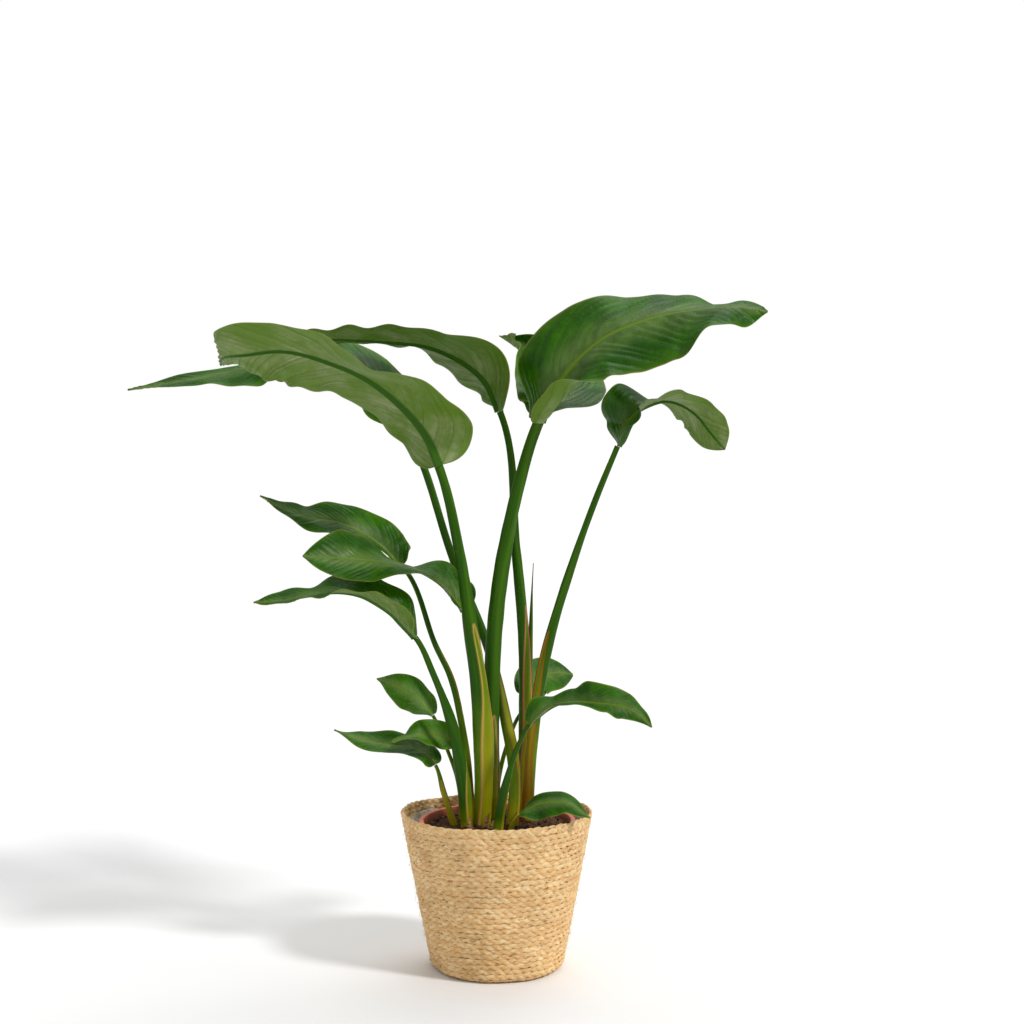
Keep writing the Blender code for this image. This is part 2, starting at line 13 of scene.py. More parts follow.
import bpy
import numpy as np
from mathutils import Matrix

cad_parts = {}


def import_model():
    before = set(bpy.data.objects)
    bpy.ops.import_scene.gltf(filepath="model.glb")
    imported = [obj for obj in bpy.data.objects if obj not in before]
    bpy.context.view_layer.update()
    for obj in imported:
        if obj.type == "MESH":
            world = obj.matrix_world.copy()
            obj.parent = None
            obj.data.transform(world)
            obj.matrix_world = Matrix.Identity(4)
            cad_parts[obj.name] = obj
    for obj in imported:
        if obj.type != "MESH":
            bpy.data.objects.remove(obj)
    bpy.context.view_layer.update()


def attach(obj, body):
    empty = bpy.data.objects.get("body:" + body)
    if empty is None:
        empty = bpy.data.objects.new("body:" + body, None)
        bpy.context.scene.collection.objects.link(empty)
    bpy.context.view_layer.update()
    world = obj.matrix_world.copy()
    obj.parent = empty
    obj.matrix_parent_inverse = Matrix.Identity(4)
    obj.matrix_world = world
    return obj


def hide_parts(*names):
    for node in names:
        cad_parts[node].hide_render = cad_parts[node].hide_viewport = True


Array = np.ndarray
Colour = tuple[float, float, float]
Point = tuple[float, float, float]
Socket = bpy.types.NodeSocket

LOG = logging.getLogger("potted_plant")
UP = np.array((0.0, 0.0, 1.0))
FULL_TURN = 2.0 * math.pi


# Numbers ----------------------------------------------------------------------------------
def display(red: int, green: int, blue: int) -> Colour:
    """Linear colour of the 0 to 255 levels that a display shows.

    Formula: each level over 255, raised by the display's power of 2.2.

    Args:
        red: level of red.
        green: level of green.
        blue: level of blue.

    Returns:
        The colour as three linear numbers.
    """
    return tuple((level / 255.0) ** 2.2 for level in (red, green, blue))


def smooth_step(low: float, high: float, values: Array) -> Array:
    """Rises from 0 at low to 1 at high, level at both ends: t * t * (3 - 2 t).

    Args:
        low: where the rise starts.
        high: where the rise ends; it may be lower than low for a fall.
        values: the numbers to read.

    Returns:
        A number from 0 to 1 for each value.
    """
    t = np.clip((values - low) / (high - low), 0.0, 1.0)
    return t * t * (3.0 - 2.0 * t)


def along(values: tuple[float, ...], stations: Array) -> Array:
    """A number given at even stations, read off smoothly at any station from 0 to 1.

    Args:
        values: the number at even stations, first to last.
        stations: where to read it.

    Returns:
        The number at each station, eased between its neighbours.
    """
    if len(values) == 1:
        return np.full(len(stations), float(values[0]))
    ramp = np.asarray(values, dtype=float)
    last = len(values) - 1
    places = np.asarray(stations) * last
    low = np.clip(places.astype(int), 0, last - 1)
    ease = smooth_step(0.0, 1.0, places - low)
    return ramp[low] * (1.0 - ease) + ramp[low + 1] * ease


def curve_through(points: Array, stations: Array) -> tuple[Array, Array]:
    """Positions and directions on a smooth curve through points.

    Each span is a cubic whose end directions are the slopes of the parabola through three
    neighbouring points, and the spans share out 0 to 1 by their straight lengths.

    Args:
        points: the points that the curve passes through.
        stations: where to read it, 0 at its start and 1 at its end.

    Returns:
        Positions, and unit directions, one row for each station.
    """
    knots = np.asarray(points, dtype=float)
    steps = np.linalg.norm(np.diff(knots, axis=0), axis=1)
    places = np.concatenate([[0.0], np.cumsum(steps)]) / steps.sum()
    slopes = np.gradient(knots, places, axis=0, edge_order=min(2, len(knots) - 1))
    stations = np.asarray(stations, dtype=float)
    span = np.clip(np.searchsorted(places, stations, side="right") - 1, 0, len(knots) - 2)
    width = (places[span + 1] - places[span])[:, None]
    t = (stations[:, None] - places[span][:, None]) / width
    start, end = knots[span], knots[span + 1]
    out, back = slopes[span] * width, slopes[span + 1] * width
    position = ((2 * t**3 - 3 * t**2 + 1) * start + (t**3 - 2 * t**2 + t) * out
                + (3 * t**2 - 2 * t**3) * end + (t**3 - t**2) * back)
    tangent = ((6 * t**2 - 6 * t) * (start - end) + (3 * t**2 - 4 * t + 1) * out
               + (3 * t**2 - 2 * t) * back)
    return position, tangent / np.linalg.norm(tangent, axis=1)[:, None]


def swell(points: Array, size: float, seed: int, waves: int = 12) -> Array:
    """Smooth random height at points: a sum of plane waves in seeded directions.

    Args:
        points: any array whose last axis holds coordinates.
        size: the usual distance between two crests, in the points' unit.
        seed: picks the waves.
        waves: how many waves are added.

    Returns:
        Heights with a spread of about 1.
    """
    dice = np.random.default_rng(seed)
    total = np.zeros(points.shape[:-1])
    for _ in range(waves):
        heading = dice.normal(size=points.shape[-1])
        heading *= FULL_TURN / size * dice.uniform(0.6, 1.5) / np.linalg.norm(heading)
        total += np.sin(points @ heading + dice.uniform(0.0, FULL_TURN))
    return total * math.sqrt(2.0 / waves)


def ring_frame(tangent: Array) -> tuple[Array, Array]:
    """Two directions square to an upright path: to its right, and away from the viewer.

    Args:
        tangent: unit directions of the path.

    Returns:
        The right and the far direction at each place on the path.
    """
    wide = np.cross((0.0, 1.0, 0.0), tangent)
    wide /= np.linalg.norm(wide, axis=-1)[..., None]
    return wide, np.cross(tangent, wide)


# Meshes -----------------------------------------------------------------------------------
class Net:
    """Collects closed tubes of rings, with numbers marked on their points, into one mesh."""

    def __init__(self) -> None:
        """Start with nothing in the net."""
        self._points: list[Array] = []
        self._quads: list[Array] = []
        self._fans: list[Array] = []
        self._marks: list[dict[str, Array]] = []
        self._count = 0

    @staticmethod
    def _volume(points: Array, quads: Array, fans: Array) -> float:
        """Signed volume: the sum of corner . (corner x corner) over the triangles, over 6."""
        faces = np.concatenate([quads[:, (0, 1, 2)], quads[:, (0, 2, 3)], fans])
        corners = (points - points.mean(axis=0))[faces]
        return float(np.einsum("ij,ij->i", corners[:, 0],
                               np.cross(corners[:, 1], corners[:, 2])).sum() / 6.0)

    def tubes(self, rings: Array, **marks: Array) -> None:
        """Add closed tubes: rings joined in turn, each end closed by a fan round its middle.

        Args:
            rings: points as tubes x levels x sides x 3.
            **marks: numbers, or three numbers, on the points; each spreads to the rings' shape.
        """
        many, levels, sides = rings.shape[:3]
        size = levels * sides + 2
        ends = rings[:, (0, levels - 1)].mean(axis=2)
        points = np.concatenate([rings.reshape(many, -1, 3), ends], axis=1)
        level, side = np.meshgrid(np.arange(levels - 1), np.arange(sides), indexing="ij")
        here = (level * sides + side).ravel()
        beside = (level * sides + (side + 1) % sides).ravel()
        quads = np.stack([here, beside, beside + sides, here + sides], axis=-1)
        first = np.arange(sides)
        after = (first + 1) % sides
        top = (levels - 1) * sides
        fans = np.concatenate([
            np.stack([np.full(sides, size - 2), after, first], axis=-1),
            np.stack([np.full(sides, size - 1), first + top, after + top], axis=-1)])
        if self._volume(points[0], quads, fans) < 0.0:
            quads, fans = quads[:, ::-1], fans[:, ::-1]
        start = self._count + np.arange(many)[:, None, None] * size
        self._quads.append((quads + start).reshape(-1, 4))
        self._fans.append((fans + start).reshape(-1, 3))
        self._points.append(points.reshape(-1, 3))
        spread = {}
        for name, values in marks.items():
            tail = (3,) if values.ndim and values.shape[-1] == 3 and name == "grain" else ()
            full = np.broadcast_to(values, (many, levels, sides) + tail)
            caps = full[:, (0, levels - 1)].mean(axis=2)
            flat = np.concatenate([full.reshape((many, -1) + tail), caps], axis=1)
            spread[name] = flat.reshape((-1,) + tail)
        self._marks.append(spread)
        self._count += many * size

    def piece(self, name: str, material: bpy.types.Material) -> bpy.types.Object:
        """Make the mesh object, smooth shaded, with its marks as point attributes.

        Args:
            name: the piece's name.
            material: its finish.

        Returns:
            The new object, which sits at the origin.
        """
        mesh = bpy.data.meshes.new(name)
        points = np.concatenate(self._points).astype(np.float32)
        quads, fans = np.concatenate(self._quads), np.concatenate(self._fans)
        mesh.vertices.add(len(points))
        mesh.vertices.foreach_set("co", points.ravel())
        mesh.loops.add(quads.size + fans.size)
        mesh.loops.foreach_set("vertex_index",
                               np.concatenate([quads.ravel(), fans.ravel()]).astype(np.int32))
        mesh.polygons.add(len(quads) + len(fans))
        starts = np.concatenate([np.arange(len(quads)) * 4,
                                 quads.size + np.arange(len(fans)) * 3])
        mesh.polygons.foreach_set("loop_start", starts.astype(np.int32))
        mesh.update(calc_edges=True)
        for mark in self._marks[0]:
            values = np.concatenate([part[mark] for part in self._marks]).astype(np.float32)
            kind, key = ("FLOAT_VECTOR", "vector") if values.ndim == 2 else ("FLOAT", "value")
            mesh.attributes.new(mark, kind, "POINT").data.foreach_set(key, values.ravel())
        mesh.shade_smooth()
        mesh.materials.append(material)
        item = bpy.data.objects.new(name, mesh)
        bpy.context.scene.collection.objects.link(item)
        return item


def hand_over(piece: bpy.types.Object, slot: str, *nodes: str) -> None:
    """Let a piece ride on the plant and stand for its CAD nodes.

    Args:
        piece: the finished piece.
        slot: not used.
        *nodes: the CAD nodes that it stands for.
    """
    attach(piece, "root")
    if nodes:
        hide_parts(*nodes)
    LOG.info("%s: %d faces", piece.name, len(piece.data.polygons))


# Shader nodes -----------------------------------------------------------------------------
class Tree:
    """Short calls that add nodes to a shader tree."""

    def __init__(self, tree: bpy.types.NodeTree) -> None:
        """Work on a tree that is already there."""
        self.tree = tree

    def node(self, kind: str, **settings: object) -> bpy.types.Node:
        """Add a node and set its properties."""
        made = self.tree.nodes.new(kind)
        for key, value in settings.items():
            setattr(made, key, value)
        return made

    def put(self, target: Socket, value: object) -> None:
        """Link a socket into the target, or set the target to a number or a colour."""
        if isinstance(value, bpy.types.NodeSocket):
            self.tree.links.new(value, target)
        elif isinstance(value, tuple) and len(value) == 3 and target.type == "RGBA":
            target.default_value = (*value, 1.0)
        else:
            target.default_value = value

    def mark(self, name: str, vector: bool = False) -> Socket:
        """Read a number, or three numbers, marked on the piece's points."""
        made = self.node("ShaderNodeAttribute", attribute_name=name)
        return made.outputs["Vector" if vector else "Fac"]

    def place(self) -> Socket:
        """The point in the object's own metres."""
        return self.node("ShaderNodeTexCoord").outputs["Object"]

    def math(self, operation: str, first: object, second: object = 0.0) -> Socket:
        """One arithmetic step on two numbers."""
        made = self.node("ShaderNodeMath", operation=operation)
        self.put(made.inputs[0], first)
        self.put(made.inputs[1], second)
        return made.outputs[0]

    def stretch(self, vector: Socket, scale: Point) -> Socket:
        """Scale a vector along its three axes."""
        made = self.node("ShaderNodeMapping")
        self.put(made.inputs["Vector"], vector)
        made.inputs["Scale"].default_value = scale
        return made.outputs[0]

    def noise(self, vector: Socket, scale: object, detail: float = 3.0,
              roughness: float = 0.55) -> Socket:
        """Cloudy noise from 0 to 1."""
        made = self.node("ShaderNodeTexNoise")
        self.put(made.inputs["Vector"], vector)
        self.put(made.inputs["Scale"], scale)
        made.inputs["Detail"].default_value = detail
        made.inputs["Roughness"].default_value = roughness
        return made.outputs["Fac"]

    def step(self, value: Socket, low: object, high: object, bottom: float = 0.0,
             top: float = 1.0) -> Socket:
        """Ease a number from bottom, where it is low, to top, where it is high."""
        made = self.node("ShaderNodeMapRange", interpolation_type="SMOOTHSTEP")
        self.put(made.inputs["Value"], value)
        self.put(made.inputs["From Min"], low)
        self.put(made.inputs["From Max"], high)
        made.inputs["To Min"].default_value = bottom
        made.inputs["To Max"].default_value = top
        return made.outputs[0]

    def blend(self, share: object, first: object, second: object) -> Socket:
        """Mix two colours by a share from 0 to 1."""
        made = self.node("ShaderNodeMix", data_type="RGBA")
        self.put(made.inputs[0], share)
        self.put(made.inputs[6], first)
        self.put(made.inputs[7], second)
        return made.outputs[2]

    def darken(self, colour: Socket, factor: Socket) -> Socket:
        """Multiply a colour by a number."""
        made = self.node("ShaderNodeMix", data_type="RGBA", blend_type="MULTIPLY")
        made.inputs[0].default_value = 1.0
        self.put(made.inputs[6], colour)
        self.put(made.inputs[7], factor)
        return made.outputs[2]

    def pair(self, first: Socket, second: Socket) -> Socket:
        """Two numbers as the first two parts of a vector."""
        made = self.node("ShaderNodeCombineXYZ")
        self.put(made.inputs[0], first)
        self.put(made.inputs[1], second)
        return made.outputs[0]

    def mix_shaders(self, share: float, first: bpy.types.Node, second: bpy.types.Node) -> None:
        """Show a mix of two shaders on the surface."""
        made = self.node("ShaderNodeMixShader")
        made.inputs[0].default_value = share
        self.put(made.inputs[1], first.outputs[0])
        self.put(made.inputs[2], second.outputs[0])
        self.put(self.tree.nodes["Material Output"].inputs["Surface"], made.outputs[0])

    def bump(self, height: Socket, strength: float, distance: float) -> Socket:
        """Normal of a surface raised by a height."""
        made = self.node("ShaderNodeBump")
        made.inputs["Strength"].default_value = strength
        made.inputs["Distance"].default_value = distance
        self.put(made.inputs["Height"], height)
        return made.outputs[0]

    def use(self, group: bpy.types.NodeTree, **values: object) -> bpy.types.Node:
        """Place a shared effect and fill its inputs."""
        made = self.node("ShaderNodeGroup", node_tree=group)
        for key, value in values.items():
            self.put(made.inputs[key.replace("_", " ")], value)
        return made


def new_group(name: str, inputs: dict[str, tuple[str, float]],
              outputs: tuple[str, ...]) -> tuple[Tree, bpy.types.Node, bpy.types.Node]:
    """Start a shared effect with named inputs and outputs.

    Args:
        name: the group's name.
        inputs: each input's kind, Float or Vector, and its usual number.
        outputs: names of the outputs, all numbers.

    Returns:
        The tree, and its input and output nodes.
    """
    group = bpy.data.node_groups.new(name, "ShaderNodeTree")
    for label, (kind, usual) in inputs.items():
        made = group.interface.new_socket(label, in_out="INPUT", socket_type=f"NodeSocket{kind}")
        if kind == "Float":
            made.default_value = usual
    for label in outputs:
        group.interface.new_socket(label, in_out="OUTPUT", socket_type="NodeSocketFloat")
    tree = Tree(group)
    return tree, tree.node("NodeGroupInput"), tree.node("NodeGroupOutput")


class Effects:
    """The surface effects that several finishes share, each built once as a node group."""

    def __init__(self) -> None:
        """Build all the groups."""
        self.mottle = self._mottle()
        self.fibre = self._fibre()
        self.specks = self._specks()

    @staticmethod
    def _mottle() -> bpy.types.NodeTree:
        """Broad and fine cloudiness: 1 plus the contrast times two layers of noise about 0."""
        tree, into, out = new_group(
            "mottle", {"Vector": ("Vector", 0.0), "Scale": ("Float", 40.0),
                       "Contrast": ("Float", 0.3)}, ("Factor",))
        broad = tree.noise(into.outputs["Vector"], into.outputs["Scale"], 2.0)
        fine_scale = tree.math("MULTIPLY", into.outputs["Scale"], 7.0)
        fine = tree.noise(into.outputs["Vector"], fine_scale, 3.0)
        both = tree.math("ADD", tree.math("MULTIPLY", broad, 1.4), tree.math("MULTIPLY", fine, 0.6))
        swing = tree.math("MULTIPLY", tree.math("SUBTRACT", both, 1.0), into.outputs["Contrast"])
        tree.put(out.inputs["Factor"], tree.math("ADD", swing, 1.0))
        return tree.tree

    @staticmethod
    def _fibre() -> bpy.types.NodeTree:
        """Long streaks: noise on a vector that is squeezed round the strand and long on it."""
        tree, into, out = new_group(
            "fibre", {"Grain": ("Vector", 0.0), "Fineness": ("Float", 900.0)},
            ("Streak", "Height"))
        long = tree.stretch(into.outputs["Grain"], (1.0, 1.0, 0.045))
        coarse = tree.noise(long, tree.math("MULTIPLY", into.outputs["Fineness"], 0.35), 1.0)
        fine = tree.noise(long, into.outputs["Fineness"], 2.0)
        tree.put(out.inputs["Streak"], tree.step(coarse, 0.32, 0.68))
        tree.put(out.inputs["Height"], tree.math("ADD", tree.math("MULTIPLY", fine, 0.6), coarse))
        return tree.tree

    @staticmethod
    def _specks() -> bpy.types.NodeTree:
        """Scattered specks: where noise passes a threshold, in patches set by broader noise."""
        tree, into, out = new_group(
            "specks", {"Vector": ("Vector", 0.0), "Scale": ("Float", 300.0),
                       "Threshold": ("Float", 0.66)}, ("Mask",))
        fine = tree.noise(into.outputs["Vector"], into.outputs["Scale"], 2.0)
        broad_scale = tree.math("MULTIPLY", into.outputs["Scale"], 0.12)
        broad = tree.noise(into.outputs["Vector"], broad_scale, 1.0)
        patch = tree.math("MULTIPLY", tree.math("SUBTRACT", broad, 0.5), 0.35)
        both = tree.math("ADD", fine, patch)
        edge = tree.math("ADD", into.outputs["Threshold"], 0.05)
        tree.put(out.inputs["Mask"], tree.step(both, into.outputs["Threshold"], edge))
        return tree.tree


def new_finish(name: str) -> tuple[Tree, bpy.types.Node, bpy.types.Material]:
    """Start a material with a Principled shader.

    Args:
        name: the material's name.

    Returns:
        Its tree, its shader, and the material.
    """
    material = bpy.data.materials.new(name)
    material.use_nodes = True
    return Tree(material.node_tree), material.node_tree.nodes["Principled BSDF"], material


# Finishes ---------------------------------------------------------------------------------
@dataclass(frozen=True)
class LeafFinish:
    """Blade of a leaf: green above, paler below, with veins, midrib, thin margin and painted sheen.
    """
    name: str
    upper: Colour
    upper_bright: Colour
    under: Colour
    under_green: Colour
    # side vein lines below: vein colour deepened by painted shade in the fold creases
    under_vein_shade: Colour = display(58, 82, 26)
    rib_upper: Colour = display(114, 150, 26)
    rib_under: Colour = display(58, 102, 10)
    painted_sheen: Colour = display(150, 162, 104)      # painted sheen: a grey highlight beside the midrib, above
    vivid: Colour = display(92, 130, 4)         # fresher green towards the margin
    margin: Colour = display(160, 156, 76)
    glow: Colour = display(118, 176, 0)
    translucence: float = 0.26
    roughness_upper: float = 0.34
    roughness_under: float = 0.46

    def build(self, effects: Effects) -> bpy.types.Material:
        """Make the material.

        The marks on a blade are vein, the running count of side veins, side, 1 on the
        underside, rib, 1 on the midrib, edge, 1 at the margin, and reach, 0 at the midrib to
        1 at the margin.

        Args:
            effects: the shared node groups.

        Returns:
            The material.
        """
        tree, shader, material = new_finish(self.name)
        side, rib, edge = tree.mark("side"), tree.mark("rib"), tree.mark("edge")
        vein, reach, place = tree.mark("vein"), tree.mark("reach"), tree.place()
        panel_place = tree.pair(vein, tree.math("MULTIPLY", reach, 0.5))
        streak_place = tree.pair(tree.math("MULTIPLY", vein, 9.0), reach)
        panel = tree.step(tree.noise(panel_place, 1.7, 1.0), 0.34, 0.66)
        streak = tree.step(tree.noise(streak_place, 1.6, 2.0), 0.30, 0.70)
        wave = tree.math("ABSOLUTE", tree.math("SINE", tree.math("MULTIPLY", vein, math.pi)))
        line = tree.step(wave, 0.16, 0.0)
        cloud = tree.use(effects.mottle, Vector=place, Scale=24.0, Contrast=0.9).outputs[0]
        tone = tree.math("MULTIPLY", tree.step(cloud, 0.75, 1.25),
                         tree.math("ADD", tree.math("MULTIPLY", panel, 0.6), 0.4))
        top = tree.blend(tone, self.upper, self.upper_bright)
        # Painted sheen: a grey highlight laid over the upper side beside the midrib.
        sheen_share = tree.math("MULTIPLY", tree.step(reach, 0.60, 0.05, 0.0, 0.45),
                         tree.step(cloud, 0.6, 1.3, 0.35, 1.0))
        top = tree.blend(sheen_share, top, self.painted_sheen)
        top = tree.blend(tree.step(reach, 0.70, 1.0, 0.0, 0.30), top, self.vivid)
        top = tree.blend(tree.math("MULTIPLY", streak, 0.28), top, self.upper_bright)
        top = tree.blend(tree.math("MULTIPLY", line, 0.30), top, self.rib_upper)
        top = tree.blend(rib, top, self.rib_upper)
        # Painted shade: each panel between side veins darkens across towards the next vein, as
        # light falls on folds.
        fold_shade = tree.math("FRACT", vein)
        below = tree.blend(tone, self.under_green, self.under)
        below = tree.blend(tree.step(reach, 0.45, 1.0, 0.0, 0.75), below, self.vivid)
        below = tree.blend(tree.math("MULTIPLY", fold_shade, 0.6), below, self.under_green)
        below = tree.blend(tree.math("MULTIPLY", streak, 0.28), below, self.under_green)
        # Side veins below: dark lines, partly vein colour and partly painted shade in the fold
        # creases.
        below = tree.blend(tree.math("MULTIPLY", line, 0.6), below, self.under_vein_shade)
        below = tree.blend(rib, below, self.rib_under)
        both = tree.blend(side, top, below)
        both = tree.blend(tree.math("MULTIPLY", edge, 0.8), both, self.margin)
        spots = tree.use(effects.specks, Vector=place, Scale=420.0, Threshold=0.74).outputs[0]
        both = tree.blend(tree.math("MULTIPLY", spots, 0.35), both, display(120, 110, 40))
        tree.put(shader.inputs["Base Color"], both)
        gloss = tree.step(side, 0.0, 1.0, self.roughness_upper, self.roughness_under)
        uneven = tree.math("MULTIPLY", tree.noise(place, 55.0, 4.0), 0.16)
        tree.put(shader.inputs["Roughness"],
                 tree.math("ADD", gloss, tree.math("SUBTRACT", uneven, 0.08)))
        ridges = tree.math("SUBTRACT", tree.math("MULTIPLY", streak, 0.5), line)
        ridges = tree.math("MULTIPLY", ridges, tree.math("SUBTRACT", 1.0, rib))
        pores = tree.math("MULTIPLY", tree.noise(place, 2200.0, 2.0), 0.10)
        normal = tree.bump(tree.math("ADD", ridges, pores), 0.30, 0.0006)
        tree.put(shader.inputs["Normal"], normal)
        shader.inputs["Specular IOR Level"].default_value = 0.22
        glow = tree.node("ShaderNodeBsdfTranslucent")
        tree.put(glow.inputs["Color"], tree.blend(rib, self.glow, self.rib_under))
        tree.put(glow.inputs["Normal"], normal)
        tree.mix_shaders(self.translucence, shader, glow)
        return material


class Tint(Enum):
    """Colour of the dry margins that a stalk's sheath has."""
    TAN = display(190, 150, 80)
    PINK = display(196, 112, 96)
    PURPLE = display(120, 62, 52)
    ORANGE = display(176, 92, 34)


@dataclass(frozen=True)
class StalkFinish:
    """Skin of a stalk: green above, lime to yellow at its foot, with coloured sheath margins."""
    tint: Tint
    green: Colour = display(40, 78, 0)
    pale: Colour = display(72, 110, 8)
    lime: Colour = display(96, 124, 4)
    yellow: Colour = display(158, 150, 20)

    def build(self, effects: Effects) -> bpy.types.Material:
        """Make the material.

        The marks on a stalk are lift, metres above the soil over the blanched length, inside,
        1 within the sheath's opening, margin, 1 on its edges, the channel mark, 1 in the channel
        above it where a highlight is painted, and grain, the place round and along the stalk.

        Args:
            effects: the shared node groups.

        Returns:
            The material.
        """
        tree, shader, material = new_finish(f"stalk_{self.tint.name.lower()}")
        lift, inside, margin = tree.mark("lift"), tree.mark("inside"), tree.mark("margin")
        groove, flush = tree.mark("groove"), tree.mark("flush")
        place = tree.place()
        fibre = tree.use(effects.fibre, Grain=tree.mark("grain", vector=True), Fineness=950.0)
        cloud = tree.use(effects.mottle, Vector=place, Scale=30.0, Contrast=0.8).outputs[0]
        high = tree.math("ADD", lift, tree.math("MULTIPLY", tree.math("SUBTRACT", cloud, 1.0), 0.3))
        body = tree.blend(tree.step(high, 0.0, 0.35), self.yellow, self.lime)
        body = tree.blend(tree.step(high, 0.3, 1.0), body, self.green)
        body = tree.blend(tree.math("MULTIPLY", inside, 0.85), body,
                          tree.blend(tree.step(high, 0.2, 1.2), self.yellow, self.lime))
        # Painted highlight: the channel along the top of the stalk is made paler.
        body = tree.blend(tree.math("MULTIPLY", groove, 0.45), body, self.pale)
        streak = tree.math("MULTIPLY", fibre.outputs["Streak"], 0.22)
        body = tree.blend(streak, body, self.pale)
        body = tree.blend(flush, body, self.tint.value)
        body = tree.blend(margin, body, self.tint.value)
        spots = tree.use(effects.specks, Vector=place, Scale=300.0, Threshold=0.70).outputs[0]
        body = tree.blend(tree.math("MULTIPLY", spots, 0.4), body, display(112, 84, 34))
        tree.put(shader.inputs["Base Color"], body)
        tree.put(shader.inputs["Roughness"], tree.step(cloud, 0.6, 1.4, 0.32, 0.46))
        tree.put(shader.inputs["Normal"], tree.bump(fibre.outputs["Height"], 0.30, 0.0004))
        shader.inputs["Specular IOR Level"].default_value = 0.12
        return material


@dataclass(frozen=True)
class StrawFinish:
    """Dried seagrass: pale straw with darker streaks, golden patches and brown flecks."""
    pale: Colour = display(238, 208, 158)
    tan: Colour = display(214, 172, 116)
    golden: Colour = display(214, 160, 88)
    brown: Colour = display(104, 66, 36)

    def build(self, effects: Effects) -> bpy.types.Material:
        """Make the material; the strands' marks are grain and the painted shade in their gaps.

        Args:
            effects: the shared node groups.

        Returns:
            The material.
        """
        tree, shader, material = new_finish("seagrass_straw")
        grain, depth = tree.mark("grain", vector=True), tree.mark("depth")
        place = tree.place()
        fibre = tree.use(effects.fibre, Grain=grain, Fineness=1500.0)
        patch = tree.noise(tree.stretch(grain, (0.4, 0.4, 1.0)), 34.0, 2.0)
        body = tree.blend(tree.step(patch, 0.36, 0.62), self.pale, self.tan)
        gold = tree.noise(tree.stretch(grain, (0.4, 0.4, 1.0)), 61.0, 1.0)
        body = tree.blend(tree.step(gold, 0.60, 0.72, 0.0, 0.75), body, self.golden)
        streak = tree.math("MULTIPLY", fibre.outputs["Streak"], 0.42)
        body = tree.blend(streak, body, self.tan)
        flecks = tree.use(effects.specks, Vector=tree.stretch(grain, (1.0, 1.0, 0.25)),
                          Scale=420.0, Threshold=0.66).outputs[0]
        body = tree.blend(tree.math("MULTIPLY", flecks, 0.7), body, self.brown)
        cloud = tree.use(effects.mottle, Vector=place, Scale=22.0, Contrast=0.28).outputs[0]
        body = tree.darken(body, cloud)
        # Painted shade: brown laid where strands dive between rows and under their neighbours.
        body = tree.blend(tree.step(depth, 0.35, 1.0, 0.0, 0.62), body, self.brown)
        tree.put(shader.inputs["Base Color"], body)
        tree.put(shader.inputs["Roughness"],
                 tree.step(fibre.outputs["Streak"], 0.0, 1.0, 0.62, 0.82))
        tree.put(shader.inputs["Normal"], tree.bump(fibre.outputs["Height"], 0.7, 0.0005))
        shader.inputs["Specular IOR Level"].default_value = 0.35
        return material


@dataclass(frozen=True)
class FilmFinish:
    """Crinkled plastic film of the liner, greyish, with dust of the soil on it."""
    clear: Colour = display(184, 176, 160)
    dull: Colour = display(126, 114, 98)

    def build(self, effects: Effects) -> bpy.types.Material:
        """Make the material from shared groups and return it."""
        tree, shader, material = new_finish("liner_film")
        place = tree.place()
        cloud = tree.use(effects.mottle, Vector=place, Scale=60.0, Contrast=1.0).outputs[0]
        body = tree.blend(tree.step(cloud, 0.7, 1.3), self.dull, self.clear)
        dust = tree.use(effects.specks, Vector=place, Scale=500.0, Threshold=0.64).outputs[0]
        body = tree.blend(tree.math("MULTIPLY", dust, 0.7), body, display(92, 66, 46))
        tree.put(shader.inputs["Base Color"], body)
        tree.put(shader.inputs["Roughness"], tree.step(cloud, 0.6, 1.4, 0.16, 0.38))
        crinkle = tree.noise(place, 190.0, 4.0, 0.7)
        tree.put(shader.inputs["Normal"], tree.bump(crinkle, 0.8, 0.0012))
        return material


@dataclass(frozen=True)
class ClayFinish:
    """Terracotta-coloured moulded plastic, rubbed pale at the lip and dusty with soil."""
    clay: Colour = display(196, 98, 66)
    rubbed: Colour = display(222, 138, 106)
    dirt: Colour = display(86, 52, 34)

    def build(self, effects: Effects) -> bpy.types.Material:
        """Make the material; lip is 1 on the lip's outer edge and dirty is 1 near the soil.

        Args:
            effects: the shared node groups.

        Returns:
            The material.
        """
        tree, shader, material = new_finish("terracotta_plastic")
        place, lip, dirty = tree.place(), tree.mark("lip"), tree.mark("dirty")
        cloud = tree.use(effects.mottle, Vector=place, Scale=50.0, Contrast=0.6).outputs[0]
        body = tree.blend(tree.step(cloud, 0.75, 1.3, 0.0, 0.6), self.clay, self.rubbed)
        body = tree.blend(tree.math("MULTIPLY", lip, 0.45), body, self.rubbed)
        crumbs = tree.use(effects.specks, Vector=place, Scale=420.0, Threshold=0.60).outputs[0]
        soiled = tree.math("MAXIMUM", tree.math("MULTIPLY", dirty, 0.75),
                           tree.math("MULTIPLY", crumbs, 0.6))
        body = tree.blend(soiled, body, self.dirt)
        tree.put(shader.inputs["Base Color"], body)
        tree.put(shader.inputs["Roughness"], tree.step(cloud, 0.6, 1.4, 0.40, 0.62))
        tree.put(shader.inputs["Normal"], tree.bump(tree.noise(place, 900.0, 3.0), 0.25, 0.0003))
        return material


